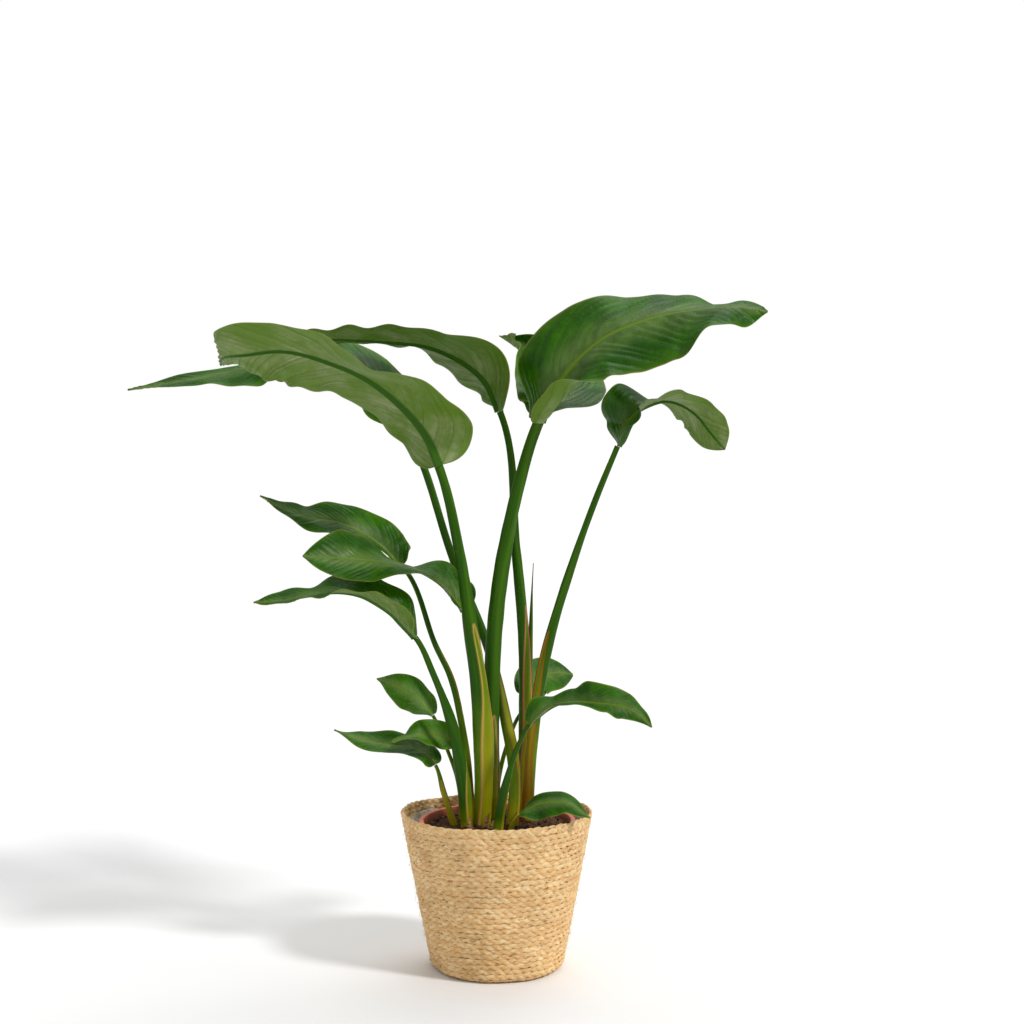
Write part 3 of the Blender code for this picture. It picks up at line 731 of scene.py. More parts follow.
@dataclass(frozen=True)
class PeatFinish:
    """Peat: dark brown crumbs with reddish and pale fibres."""
    dark: Colour = display(48, 30, 20)
    brown: Colour = display(104, 68, 42)
    fibre: Colour = display(150, 108, 70)

    def build(self, effects: Effects) -> bpy.types.Material:
        """Make the material; tone is a mark that sets crumbs and fibres apart.

        Args:
            effects: the shared node groups.

        Returns:
            The material.
        """
        tree, shader, material = new_finish("peat")
        place, tone = tree.place(), tree.mark("tone")
        cloud = tree.use(effects.mottle, Vector=place, Scale=160.0, Contrast=1.3).outputs[0]
        body = tree.blend(tree.step(cloud, 0.6, 1.4), self.dark, self.brown)
        body = tree.blend(tree.step(tone, 0.3, 1.0, 0.0, 0.8), body, self.fibre)
        tree.put(shader.inputs["Base Color"], body)
        tree.put(shader.inputs["Roughness"], tree.step(cloud, 0.6, 1.4, 0.80, 0.98))
        crumbs = tree.noise(place, 700.0, 5.0, 0.7)
        tree.put(shader.inputs["Normal"], tree.bump(crumbs, 0.9, 0.0012))
        return material


@dataclass(frozen=True)
class PaperFinish:
    """Dry papery sheath: tan, darker and split towards its torn edge."""
    tan: Colour = display(196, 150, 92)
    brown: Colour = display(98, 62, 36)

    def build(self, effects: Effects) -> bpy.types.Material:
        """Make the material from shared groups and return it."""
        tree, shader, material = new_finish("dry_sheath")
        place = tree.place()
        fibre = tree.use(effects.fibre, Grain=tree.mark("grain", vector=True), Fineness=1800.0)
        cloud = tree.use(effects.mottle, Vector=place, Scale=180.0, Contrast=1.0).outputs[0]
        worn = tree.math("MAXIMUM", tree.mark("edge"), tree.step(cloud, 0.9, 1.4))
        body = tree.blend(tree.math("MULTIPLY", worn, 0.8), self.tan, self.brown)
        body = tree.blend(tree.math("MULTIPLY", fibre.outputs["Streak"], 0.4), body, self.brown)
        tree.put(shader.inputs["Base Color"], body)
        tree.put(shader.inputs["Roughness"], tree.step(cloud, 0.6, 1.4, 0.70, 0.90))
        tree.put(shader.inputs["Normal"], tree.bump(fibre.outputs["Height"], 0.7, 0.0005))
        return material


# Basket, liner, pot and soil --------------------------------------------------------------
@dataclass
class Basket:
    """Basket of one long three-strand plait, coiled from the middle of its bottom to its rim."""
    height: float = 0.170
    top_radius: float = 0.104
    foot_radius: float = 0.074
    heel: float = 0.011             # rounding between wall and bottom
    half_wall: float = 0.0025
    pitch: float = 0.00585          # distance between two rows of the plait
    period: float = 0.0290          # length in which a strand crosses over and back
    sway: float = 0.00150           # how far a strand swings across the plait
    rise: float = 0.00085           # how far it swings in and out
    half_width: float = 0.00205     # half width of one strand
    half_depth: float = 0.00125
    step: float = 0.0020            # spacing of the rings along a strand
    sides: int = 8
    side_bulge: float = 0.0026      # how much wider the rim is to both sides
    side_shift: float = 0.0014      # how far the rim leans to the left
    rim_rise: float = 0.0008        # how far the rim stands above the nominal height
    rim_tilt: float = 0.0024        # how much higher it is in front than in the middle
    level: float = 0.80             # turns that the coil runs on level at the rim
    seam: float = 2.05              # turning angle where it starts to run level
    bands: int = 4                  # pieces that the coil is cut into
    stray: int = 320                # loose fibres on the surface

    def _profile(self, travel: Array) -> tuple[Array, Array, Array, Array]:
        """Middle of the wall, by distance from the centre of the bottom.

        The line runs out along the bottom, turns a quarter and more round the heel, and
        climbs the tapering wall to the rim.

        Args:
            travel: distances along the line.

        Returns:
            Radius, height, and the direction of the line as two numbers.
        """
        lean = math.atan2(self.top_radius - self.foot_radius, self.height)
        turn = math.pi / 2.0 - lean
        bend = self.heel - self.half_wall
        flat = self.foot_radius - self.heel + 0.0008
        angle = np.clip((travel - flat) / bend, 0.0, turn)
        climb = np.maximum(travel - flat - bend * turn, 0.0)
        radius = (np.minimum(travel, flat) + bend * np.sin(angle) + climb * math.sin(lean))
        height = (self.half_wall + bend * (1.0 - np.cos(angle)) + climb * math.cos(lean))
        return radius, height, np.cos(angle), np.sin(angle)

    def _length(self) -> float:
        """Distance from the centre of the bottom to the middle of the rim."""
        travel = np.linspace(0.0, 0.4, 4001)
        height = self._profile(travel)[1]
        return float(np.interp(self.height - self.pitch * 0.52, height, travel))

    def _settled(self, radius: Array, height: Array, turn: Array) -> tuple[Array, Array]:
        """Bend places on the wall as the basket is bent: wide to the sides, rim uneven.

        Args:
            radius: distance from the axis.
            height: height above the ground.
            turn: turning angle.

        Returns:
            Radius and height after bending.
        """
        share = np.clip(height / self.height, 0.0, 1.1)
        wide = share * (self.side_bulge * np.cos(turn) ** 2 - self.side_shift * np.cos(turn))
        wavy = 0.0009 * share * np.sin(3.0 * turn + 0.7) + 0.0006 * np.sin(5.0 * turn)
        rise = (self.rim_rise - self.rim_tilt * np.sin(turn)
                + 0.0006 * np.sin(2.0 * turn + 2.4))
        return radius + wide + wavy, height + share**3 * rise

    def _coil(self) -> tuple[Array, Array, Array]:
        """Even places along the coil, whose travel grows by one pitch in each turn.

        At the rim the coil runs on level, on top of the turn below it.

        Returns:
            Travel, turning angle, and length run along the coil.
        """
        end = self._length()
        fine = np.linspace(0.006, end, 60001)
        around = self._profile(fine)[0] * FULL_TURN / self.pitch
        run = np.concatenate([[0.0], np.cumsum(np.hypot(around[1:], 1.0) * np.diff(fine))])
        rim = float(self._profile(fine[-1:])[0][0])
        places = np.arange(0.0, run[-1] + self.level * FULL_TURN * rim, self.step)
        travel = np.interp(places, run, fine)
        beyond = np.maximum(places - run[-1], 0.0) / rim
        angle = self.seam - (end - travel) / self.pitch * FULL_TURN + beyond
        return travel, angle, places

    def _strands(self) -> tuple[Array, dict[str, Array]]:
        """Rings of the three strands, and the marks on them.

        Across the plait a strand stands at sway x sin(phase), and out of it at
        rise x sin(2 phase); the three are a third of a period apart.

        Returns:
            Rings as strands x levels x sides x 3, and the marks by name.
        """
        travel, angle, run = self._coil()
        radius, height, outward, upward = self._profile(travel)
        line = run[:, None]
        slow = swell(line, 0.21, 3, 10)
        phase = (run / self.period * FULL_TURN + 0.5 * slow
                 + np.arange(3)[:, None] / 3.0 * FULL_TURN)
        loose = 1.0 + 0.16 * np.stack([swell(line, 0.045, 20 + k, 10) for k in range(3)])
        across = self.sway * np.sin(phase) * (1.0 + 0.10 * swell(line, 0.09, 4, 10))
        proud = self.rise * np.sin(2.0 * phase) * loose + 0.00022 * swell(line, 0.07, 5, 10)
        theta = np.arange(self.sides) / self.sides * FULL_TURN
        wide = (self.half_width * loose)[..., None] * np.cos(theta)
        deep = self.half_depth * np.sin(theta) * np.ones_like(wide)
        slant = 0.35 * np.cos(phase)[..., None]
        over = across[..., None] + wide + 0.2 * deep * slant
        out = proud[..., None] + deep * (1.0 - 0.25 * np.abs(np.cos(theta)))
        skew = -slant * over * 0.9
        here = radius[:, None] + over * outward[:, None] + out * upward[:, None]
        lift = height[:, None] + over * upward[:, None] - out * outward[:, None]
        turn = angle[:, None] + skew / np.maximum(here, 0.004)
        here, lift = self._settled(here, lift, turn)
        rings = np.stack([here * np.cos(turn), here * np.sin(turn), lift], axis=-1)
        size = (self.half_width, self.half_depth)
        far = np.arange(3)[:, None, None] * 7.0
        grain = np.stack([size[0] * np.cos(theta) + far + 0.0 * over,
                          size[1] * np.sin(theta) + 0.0 * over,
                          run[:, None] + 0.0 * over], axis=-1)
        # Where a strand nears the next row or sinks under others, it gets painted shade.
        edge = np.abs(over) / (self.pitch * 0.5)
        low = np.clip((0.0002 - out) / 0.0022, 0.0, 1.0)
        depth = np.clip(smooth_step(0.85, 1.2, edge) * 0.6 + low * 0.2, 0.0, 1.0)
        return rings, {"grain": grain, "depth": depth}

    def _stray_fibres(self, net: Net) -> None:
        """Loose fibres that lie on the wall and lift off it at one end.

        Each runs a short way round the wall; its stand-off grows with the square of its
        length share.

        Args:
            net: where the fibres go.
        """
        dice = np.random.default_rng(11)
        share = np.linspace(0.0, 1.0, 7)
        start = dice.uniform(0.0, FULL_TURN, (self.stray, 1))
        level = dice.uniform(0.02, self.height - 0.003, (self.stray, 1))
        length = dice.uniform(0.006, 0.020, (self.stray, 1))
        tilt = dice.normal(0.0, 0.30, (self.stray, 1))
        lift = dice.uniform(0.0, 0.0026, (self.stray, 1)) * share**2
        height = level + length * tilt * share + 0.0006 * np.sin(share * 5.0 + start * 9.0)
        height = np.clip(height, 0.01, self.height - 0.0006)
        slope = (self.top_radius - self.foot_radius) / self.height
        radius = self.foot_radius + slope * height - 0.0002 + lift
        turn = start + length * share / radius
        radius, height = self._settled(radius, height, turn)
        centre = np.stack([radius * np.cos(turn), radius * np.sin(turn), height], axis=-1)
        outward = np.stack([np.cos(turn), np.sin(turn), np.zeros_like(turn)], axis=-1)
        thick = dice.uniform(0.00010, 0.00026, (self.stray, 1)) * (1.0 - 0.7 * share)
        theta = np.arange(4) / 4.0 * FULL_TURN
        rings = (centre[:, :, None] + (thick[..., None] * np.cos(theta))[..., None] * UP
                 + (thick[..., None] * np.sin(theta))[..., None] * outward[:, :, None])
        grain = np.stack([thick[..., None] * np.cos(theta) + start[..., None],
                          thick[..., None] * np.sin(theta),
                          (length * share)[..., None] + 0.0 * theta], axis=-1)
        net.tubes(rings, grain=grain, depth=np.zeros(1))

    def build(self, straw: bpy.types.Material) -> None:
        """Coil the plait in bands, low to high, and add the stray fibres.

        Args:
            straw: the finish of the strands.
        """
        rings, marks = self._strands()
        cuts = np.linspace(0, rings.shape[1] - 1, self.bands + 1).astype(int)
        for index, (low, high) in enumerate(zip(cuts[:-1], cuts[1:])):
            net = Net()
            net.tubes(rings[:, low:high + 1],
                      **{name: values[:, low:high + 1] for name, values in marks.items()})
            piece = net.piece(f"basket_plait_{index + 1}", straw)
            hand_over(piece, "seagrass", *(["basket"] if index == 0 else []))
        net = Net()
        self._stray_fibres(net)
        hand_over(net.piece("basket_stray_fibres", straw), "seagrass")

    def inner_radius(self, height: Array) -> Array:
        """Radius of the wall's inner face at a height."""
        share = height / self.height
        outer = self.foot_radius + (self.top_radius - self.foot_radius) * share
        return outer - 2.0 * self.half_wall


def turned(profile: Array, steps: int) -> tuple[Array, Array]:
    """Rings of a profile turned about Z.

    Args:
        profile: radius and height of its points.
        steps: points in each ring.

    Returns:
        Rings as 1 x levels x steps x 3, and the turning angle of each step.
    """
    turn = np.arange(steps) / steps * FULL_TURN
    radius, height = profile[:, :1], profile[:, 1:]
    return np.stack([radius * np.cos(turn), radius * np.sin(turn), height + 0.0 * turn],
                    axis=-1)[None], turn


def refined(corners: list[tuple[float, float]], spacing: float) -> Array:
    """Put extra points on the straight runs of a profile.

    Args:
        corners: radius and height of its corners.
        spacing: the most that may lie between two points.

    Returns:
        All points of the profile in order.
    """
    made = [np.array(corners[:1])]
    for start, end in zip(corners[:-1], corners[1:]):
        count = max(1, int(math.ceil(math.dist(start, end) / spacing)))
        share = np.linspace(0.0, 1.0, count + 1)[1:, None]
        made.append(np.array(start) + (np.array(end) - np.array(start)) * share)
    return np.concatenate(made)


@dataclass
class Liner:
    """Film cup between basket and pot, crumpled where it shows above the pot's lip."""
    basket: Basket
    wall: float = 0.0008
    top: float = 0.1605
    floor: float = 0.0054
    slump: float = 0.0065           # how far its upper part leans in towards the pot

    def _rings(self) -> Array:
        """Turned cup whose wall leans in above the pot's shoulder and is crumpled.

        Inner and outer face share one crumple: plane waves in angle and height.

        Returns:
            Rings as 1 x levels x steps x 3.
        """
        lip = self.basket.inner_radius(np.array([self.top]))[0] - 0.0006
        foot = self.basket.inner_radius(np.array([0.02]))[0] - 0.0012
        inner = refined([(0.002, self.floor + self.wall), (foot - 0.012, self.floor + self.wall),
                         (foot - self.wall, 0.018), (lip - self.wall, self.top)], 0.0035)
        outer = refined([(lip, self.top + 0.0002), (foot, 0.0175), (foot - 0.012, self.floor),
                         (0.002, self.floor)], 0.0035)
        profile = np.concatenate([inner, outer])
        rings, turn = turned(profile, 240)
        height = profile[:, 1:] + 0.0 * turn
        ground = np.stack([np.cos(turn) * 0.09 + 0.0 * height, np.sin(turn) * 0.09 + 0.0 * height,
                           height], axis=-1)
        high = smooth_step(0.125, 0.150, height)
        fall = smooth_step(self.top - 0.001, self.top - 0.013, height)
        lean = self.slump * fall * high * (1.0 + 0.35 * swell(ground, 0.05, 31))
        crease = 0.0009 * high * np.abs(swell(ground, 0.016, 32)) * (0.25 + fall)
        scale = 1.0 - np.clip(lean + crease, 0.0, 0.0105) / np.maximum(profile[:, :1], 0.02)
        rings[0, ..., :2] *= scale[..., None]
        rim = smooth_step(self.top - 0.012, self.top, height)
        rings[0, ..., 2] -= 0.0016 * rim * (1.0 + swell(ground[..., :2], 0.04, 33)).clip(0.0, 2.2)
        return rings

    def build(self, film: bpy.types.Material) -> None:
        """Make the liner with its finish."""
        net = Net()
        net.tubes(self._rings())
        hand_over(net.piece("liner_sleeve", film), "liner_film", "liner")


@dataclass
class NurseryPot:
    """Thin moulded pot with a turned-out lip; only its lip shows."""
    top: float = 0.162
    rim_radius: float = 0.085
    foot_radius: float = 0.058
    wall: float = 0.0016
    lip_height: float = 0.010
    lip_width: float = 0.0035
    floor: float = 0.0066

    def wall_radius(self, height: float) -> float:
        """Outer radius of the wall at a height."""
        share = (height - self.floor) / (self.top - self.floor)
        return self.foot_radius + (self.rim_radius - self.lip_width - self.foot_radius) * share

    def build(self, clay: bpy.types.Material) -> None:
        """Turn the pot's rounded lip and wall, with a slightly uneven lip.

        Args:
            clay: the finish of the pot.
        """
        fillet = 0.0011
        lip_foot = self.top - self.lip_height
        inside = self.wall_radius(self.top) - self.wall
        bend = np.linspace(math.pi / 2.0, 0.0, 6)
        arc = [(self.rim_radius - fillet + fillet * math.cos(a),
                self.top - fillet + fillet * math.sin(a)) for a in bend]
        edge = [(inside + fillet - fillet * math.cos(a), self.top - fillet + fillet * math.sin(a))
                for a in bend[::-1]]
        corners = [(0.002, self.floor + self.wall),
                   (self.foot_radius - self.wall, self.floor + self.wall),
                   *edge, *arc, (self.rim_radius - 0.0006, lip_foot + 0.0006),
                   (self.rim_radius - 0.0012, lip_foot), (self.wall_radius(lip_foot), lip_foot),
                   (self.foot_radius, self.floor), (0.002, self.floor)]
        profile = refined(corners, 0.004)
        rings, turn = turned(profile, 200)
        high = smooth_step(0.12, self.top, profile[:, 1:])
        rings[0, ..., :2] *= (1.0 + 0.006 * high * np.sin(2.0 * turn + 0.6))[..., None]
        radius = profile[:, :1] + 0.0 * turn
        height = profile[:, 1:] + 0.0 * turn
        lip = smooth_step(self.rim_radius - 0.0016, self.rim_radius - 0.0004, radius) * high
        inner = np.arange(len(profile))[:, None] < len(profile) / 2.0 - 4
        dirty = smooth_step(self.top - 0.001, self.top - 0.008, height) * inner
        net = Net()
        net.tubes(rings, lip=lip[None], dirty=dirty[None])
        hand_over(net.piece("nursery_pot_shell", clay), "terracotta_plastic", "nursery_pot")


@dataclass
class Soil:
    """Peat that fills the pot, lumpy and heaped a little round each stalk, with loose bits."""
    pot: NurseryPot
    feet: list[Point]               # where the stalks stand
    crown: float = 0.1585
    edge: float = 0.1535
    crumbs: int = 1500
    fibres: int = 420

    def _surface(self, spots: Array) -> Array:
        """Height of the soil at places on the ground.

        It falls from crown to edge with the square of the radius, is heaped round each foot
        by a bell curve, and has lumps of two sizes.

        Args:
            spots: X and Y, in the last axis.

        Returns:
            The height at each place.
        """
        radius = np.linalg.norm(spots, axis=-1)
        rim = self.pot.wall_radius(self.edge)
        height = self.crown - (self.crown - self.edge) * (radius / rim) ** 2
        for foot in self.feet:
            gap = np.linalg.norm(spots - np.array(foot[:2]), axis=-1)
            height = height + 0.0016 * np.exp(-((gap / 0.009) ** 2))
        lumps = 0.0009 * swell(spots, 0.016, 41) + 0.0005 * swell(spots, 0.006, 42)
        return height + lumps * smooth_step(0.0, 0.006, rim - radius)

    def build(self, peat: bpy.types.Material) -> None:
        """Make the body of soil and the loose crumbs and fibres on it.

        Args:
            peat: the finish of all three.
        """
        rim = self.pot.wall_radius(self.edge) - self.pot.wall - 0.0005
        base = self.pot.floor + self.pot.wall + 0.0004
        foot = self.pot.foot_radius - self.pot.wall - 0.0004
        out = np.linspace(0.002, rim, 70)
        profile = np.concatenate([
            np.stack([out, np.full(len(out), self.crown)], axis=-1),
            refined([(rim, self.edge), (foot, base), (0.002, base)], 0.02)[1:]])
        rings, _ = turned(profile, 260)
        top = len(out)
        rings[0, :top, :, 2] = self._surface(rings[0, :top, :, :2])
        net = Net()
        net.tubes(rings, tone=np.zeros(1))
        self._loose_bits(net, rim)
        hand_over(net.piece("soil_body", peat), "peat_soil", "soil")

    def _loose_bits(self, net: Net, rim: float) -> None:
        """Scatter crumbs, which are dented balls of a few faces, and short bent fibres.

        Args:
            net: where they go.
            rim: radius that the bits stay within.
        """
        dice = np.random.default_rng(12)

        def scatter(count: int) -> tuple[Array, Array]:
            """Even places on the disc, with the soil's height there."""
            radius = rim * 0.985 * np.sqrt(dice.uniform(0.0, 1.0, count))
            turn = dice.uniform(0.0, FULL_TURN, count)
            spots = np.stack([radius * np.cos(turn), radius * np.sin(turn)], axis=-1)
            return spots, self._surface(spots)

        spots, height = scatter(self.crumbs)
        size = dice.gamma(3.0, 0.00032, self.crumbs).clip(0.0004, 0.0026)
        tilt = np.linspace(-1.1, 1.1, 4)
        theta = np.arange(6) / 6.0 * FULL_TURN
        ball = np.stack([np.cos(tilt)[:, None] * np.cos(theta),
                         np.cos(tilt)[:, None] * np.sin(theta),
                         np.sin(tilt)[:, None] + 0.0 * theta], axis=-1)
        dents = dice.uniform(0.65, 1.3, (self.crumbs, 4, 6, 1))
        squash = dice.uniform(0.6, 1.2, (self.crumbs, 1, 1, 3))
        centre = np.concatenate([spots, (height + size * 0.35)[:, None]], axis=1)
        rings = centre[:, None, None] + ball * dents * squash * size[:, None, None, None]
        tone = (dice.uniform(0.0, 1.0, self.crumbs) ** 4)[:, None, None] * np.ones((1, 4, 6))
        net.tubes(rings, tone=tone)
        spots, height = scatter(self.fibres)
        share = np.linspace(0.0, 1.0, 6)
        length = dice.uniform(0.003, 0.013, (self.fibres, 1))
        heading = dice.uniform(0.0, FULL_TURN, (self.fibres, 1)) + share * dice.normal(
            0.0, 0.9, (self.fibres, 1))
        spots = spots[:, None] + length[..., None] * share[:, None] * np.stack(
            [np.cos(heading), np.sin(heading)], axis=-1)
        spots *= np.minimum(1.0, rim * 0.985 / np.linalg.norm(spots, axis=-1))[..., None]
        raised = dice.uniform(0.0, 0.0022, (self.fibres, 1)) * share
        height = self._surface(spots) + 0.0003 + raised
        centre = np.concatenate([spots, height[..., None]], axis=-1)
        thick = dice.uniform(0.00012, 0.00034, (self.fibres, 1)) * (1.0 - 0.6 * share)
        corner = np.arange(3) / 3.0 * FULL_TURN
        beside = np.stack([-np.sin(heading), np.cos(heading), 0.0 * heading], axis=-1)
        rings = (centre[:, :, None]
                 + (thick[..., None] * np.cos(corner))[..., None] * beside[:, :, None]
                 + (thick[..., None] * np.sin(corner))[..., None] * UP)
        tone = dice.uniform(0.2, 1.0, (self.fibres, 1, 1)) * np.ones((1, 6, 3))
        net.tubes(rings, tone=tone)


# Leaves -----------------------------------------------------------------------------------
@dataclass(frozen=True)
class Sheath:
    """Clasping foot of a stalk, open along one side up to a pointed tip."""
    tip: float                      # metres above the soil where its margins meet
    facing: float = -90.0           # degrees, way it opens: 0 is +X and -90 is -Y
    spread: float = 70.0            # degrees, half the opening at the soil
    tint: Tint = Tint.TAN
    flush: float = 0.0              # how far the tint runs over the skin at the foot


@dataclass(frozen=True)
class Leaf:
    """One leaf: a stalk with its sheath, and a blade whose midrib carries on from it.

    Points are metres: the stalk's from the soil up, and the rib's from the blade's base to
    its tip. Left and right are seen from above, looking towards the tip. A half's lift is its
    angle above level, and its curl is how far it bends up between midrib and margin. Both are
    degrees, at even stations from base to tip.
    """
    name: str
    stalk: tuple[Point, ...]
    radii: tuple[float, ...]
    rib: tuple[Point, ...]
    halves: tuple[float, float]     # width of the left and the right half
    lift_left: tuple[float, ...]
    lift_right: tuple[float, ...]
    curl_left: tuple[float, ...] = (0.0,)
    curl_right: tuple[float, ...] = (0.0,)
    lobe: float = 0.012             # how far the base lobes reach back past the stalk
    sheath: Sheath = Sheath(tip=0.05)
    lime: float = 0.16              # metres of stalk above the soil that stay lime
    fresh: bool = False             # a young leaf of brighter green
    wave: float = 0.0016            # height of the ripples at the margin
    fullness: float = 2.3           # 1 is a straight taper to the tip, more is fuller
    seed: int = 1


@dataclass
class LeafBuilder:
    """Makes the fine meshes of a leaf from its few sizes."""
    thickness: float = 0.0007
    widest: float = 0.36            # where along the midrib a blade is widest
    shoulder: float = 2.6           # 2 is a round shoulder, more is squarer
    rib_end: float = 0.0007         # half width of the midrib at the tip
    rib_depth: float = 1.5          # how far the midrib stands below the blade
    flatness: float = 0.74          # depth of a stalk's section over its width
    vein_share: float = 0.26        # spacing of the side veins over a half's width
    vein_lean: float = 0.75         # how far a vein leads towards the tip as it goes out
    corrugation: float = 0.0017
    blade_step: float = 0.0011
    stalk_step: float = 0.0016
    columns: int = 26               # points across a half blade
    sides: int = 44                 # points round a stalk

    @staticmethod
    def _parts(leaf: Leaf) -> tuple[Array, float, float, float]:
        """Knots of the leaf's one curve, its length, the blade's start on it, and the gap."""
        knots = np.array(leaf.stalk + leaf.rib)
        steps = np.linalg.norm(np.diff(knots, axis=0), axis=1)
        foot = steps[:len(leaf.stalk) - 1].sum() / steps.sum()
        return knots, float(steps.sum()), float(foot), 0.0002 / float(steps.sum())

    def stalk(self, leaf: Leaf, skin: bpy.types.Material) -> bpy.types.Object:
        """The stalk: an oval tube with a channel above its sheath and a recess within it.

        The sheath's two margins stand apart by an angle that shrinks as the square root of
        the height left to its tip. Between them the skin lies lower, and each margin is a
        thin raised line.

        Args:
            leaf: the leaf's sizes.
            skin: the stalk's finish.

        Returns:
            The stalk's piece.
        """
        knots, length, foot, gap = self._parts(leaf)
        levels = max(12, int(foot * length / self.stalk_step))
        climb = np.linspace(0.0, 1.0, levels)
        centre, tangent = curve_through(knots, climb * (foot - gap))
        tangent[0] = UP
        wide, deep = ring_frame(tangent)
        above = centre[:, 2] - centre[0, 2]
        sheath = leaf.sheath
        theta = np.arange(self.sides) / self.sides * FULL_TURN
        sway = 0.25 * swell(centre[:, 2:], 0.2, leaf.seed + 50, 6)
        away = theta - math.radians(sheath.facing) - sway[:, None]
        away = np.abs((away + math.pi) % FULL_TURN - math.pi)
        left = np.clip(1.0 - above / sheath.tip, 0.0, 1.0)
        opening = (math.radians(sheath.spread) * np.sqrt(left))[:, None]
        inside = smooth_step(0.10, -0.06, away - opening) * smooth_step(0.0, 0.04, opening)
        margin = np.exp(-(((away - opening) / 0.11) ** 2)) * smooth_step(0.0, 0.05, opening)
        channel = np.exp(-((away / 0.42) ** 2)) * smooth_step(0.0, 0.25, 1.0 - opening / 0.5)
        size = along(leaf.radii, climb)[:, None]
        bulge = 1.0 + 0.012 * swell(centre, 0.03, leaf.seed + 60)[:, None]
        radius = size * bulge * (1.0 - 0.13 * inside + 0.05 * margin - 0.10 * channel)
        rings = (centre[:, None] + (radius * np.cos(theta))[..., None] * wide[:, None]
                 + (radius * np.sin(theta) * self.flatness)[..., None] * deep[:, None])
        grain = np.stack([size * np.cos(theta) + leaf.seed, size * np.sin(theta),
                          (climb * foot * length)[:, None] + 0.0 * theta], axis=-1)
        low = smooth_step(0.16, 0.0, above)[:, None]
        side = 0.5 - 0.5 * np.cos(theta)
        net = Net()
        net.tubes(rings[None], grain=grain[None], lift=(above / leaf.lime)[None, :, None],
                  inside=inside[None], margin=margin[None], groove=channel[None],
                  flush=(sheath.flush * low * side)[None])
        piece = net.piece(f"{leaf.name}_leafstalk", skin)
        hand_over(piece, "stalk", f"{leaf.name}_stalk")
        return piece

    def _outline(self, stations: Array, fullness: float) -> Array:
        """Width of a half, 0 to 1: a round shoulder at the base, a long point at the tip.

        The shoulder is a quarter of a rounded square up to the widest place. From there the
        width is 1 less the remaining share to the power of the fullness.

        Args:
            stations: 0 at the base to 1 at the tip.
            fullness: how full the tip is.

        Returns:
            The share of the full width.
        """
        rest = 1.0 - np.minimum(stations / self.widest, 1.0)
        rise = np.clip(1.0 - rest**self.shoulder, 0.0, 1.0) ** (1.1 / self.shoulder)
        fall = np.clip((stations - self.widest) / (1.0 - self.widest), 0.0, 1.0)
        return rise * (1.0 - fall**fullness)

    def blade(self, leaf: Leaf, green: bpy.types.Material) -> bpy.types.Object:
        """The blade: thin closed sections, over the top from margin to margin and back below.

        Across a half the surface starts at its fold angle and bends evenly by its curl, so
        the offsets are the sums of the cosine and the sine of that angle. Near the base the
        section is swept back by the lobe, more towards the margin. Side veins are low waves,
        and the margin ripples. The midrib is a channel above and a rounded ridge below.

        Args:
            leaf: the leaf's sizes.
            green: the blade's finish.

        Returns:
            The blade's piece.
        """
        knots, length, foot, gap = self._parts(leaf)
        blade_length = (1.0 - foot) * length
        levels = max(40, int(blade_length / self.blade_step))
        stations = np.linspace(0.0, 1.0, levels) ** 1.12
        centre, tangent = curve_through(knots, foot + gap + stations * (1.0 - foot - gap))
        right = np.cross(tangent, UP)
        right /= np.linalg.norm(right, axis=1)[:, None]
        above = np.cross(right, tangent)
        lifts = along(leaf.lift_left, stations), along(leaf.lift_right, stations)
        turn = np.radians((lifts[1] - lifts[0]) / 2.0)[:, None]
        right, above = (right * np.cos(turn) + above * np.sin(turn),
                        above * np.cos(turn) - right * np.sin(turn))
        fold = np.radians(lifts[0] + lifts[1])[:, None] / 2.0
        rib = (leaf.radii[-1] + (self.rib_end - leaf.radii[-1]) * stations**0.7)[:, None]
        outline = self._outline(stations, leaf.fullness)[:, None]
        shoulder = outline * np.clip(1.0 - stations / self.widest, 0.0, 1.0)[:, None]
        share = np.linspace(0.0, 1.0, self.columns) ** 0.9
        run = (stations * blade_length)[:, None]
        vein_gap = self.vein_share * sum(leaf.halves) / 2.0
        tops, unders, marks = [], [], []
        for sign, width, curl in ((-1.0, leaf.halves[0], leaf.curl_left),
                                  (1.0, leaf.halves[1], leaf.curl_right)):
            wide = width * outline * share
            bend = np.radians(along(curl, stations))[:, None] * share
            chord = wide * np.sinc(bend / FULL_TURN)
            sideways = rib + chord * np.cos(fold + bend / 2.0)
            upward = chord * np.sin(fold + bend / 2.0)
            flat = np.stack([run + 0.0 * wide, wide], axis=-1)
            sweep = leaf.lobe * shoulder * share**2
            lean = self.vein_lean * (1.0 + 0.9 * stations[:, None] + 0.5 * share)
            vein = (run - sweep - wide * lean) / vein_gap
            vein = vein + 0.22 * swell(vein[..., None], 4.0, leaf.seed + int(sign) + 30, 6)
            ripple = (leaf.wave * smooth_step(0.25, 1.0, share) * smooth_step(0.0, 0.15, outline)
                      * swell(flat * (1.0, 0.25), 0.045, leaf.seed + int(sign) + 70))
            crest = (self.corrugation * vein_gap / 0.014
                     * (np.abs(np.sin(math.pi * vein)) ** 0.6 - 0.7))
            lie = ripple + crest * smooth_step(0.0, 0.12, share) * smooth_step(1.0, 0.8, share)
            angle = fold + bend
            normal = (-np.sin(angle) * sign, np.cos(angle))
            half = 0.5 * self.thickness * np.sqrt(1.0 - 0.97 * share**6)
            here = (centre[:, None] + (sign * sideways)[..., None] * right[:, None]
                    + upward[..., None] * above[:, None] - sweep[..., None] * tangent[:, None])
            face = normal[0][..., None] * right[:, None] + normal[1][..., None] * above[:, None]
            tops.append(here + (lie + half)[..., None] * face)
            unders.append(here + (lie - half)[..., None] * face)
            edge = smooth_step(0.0011, 0.0003, width * outline * (1.0 - share))
            marks.append((wide, vein, share + 0.0 * wide, edge * smooth_step(0.0, 0.1, outline)))
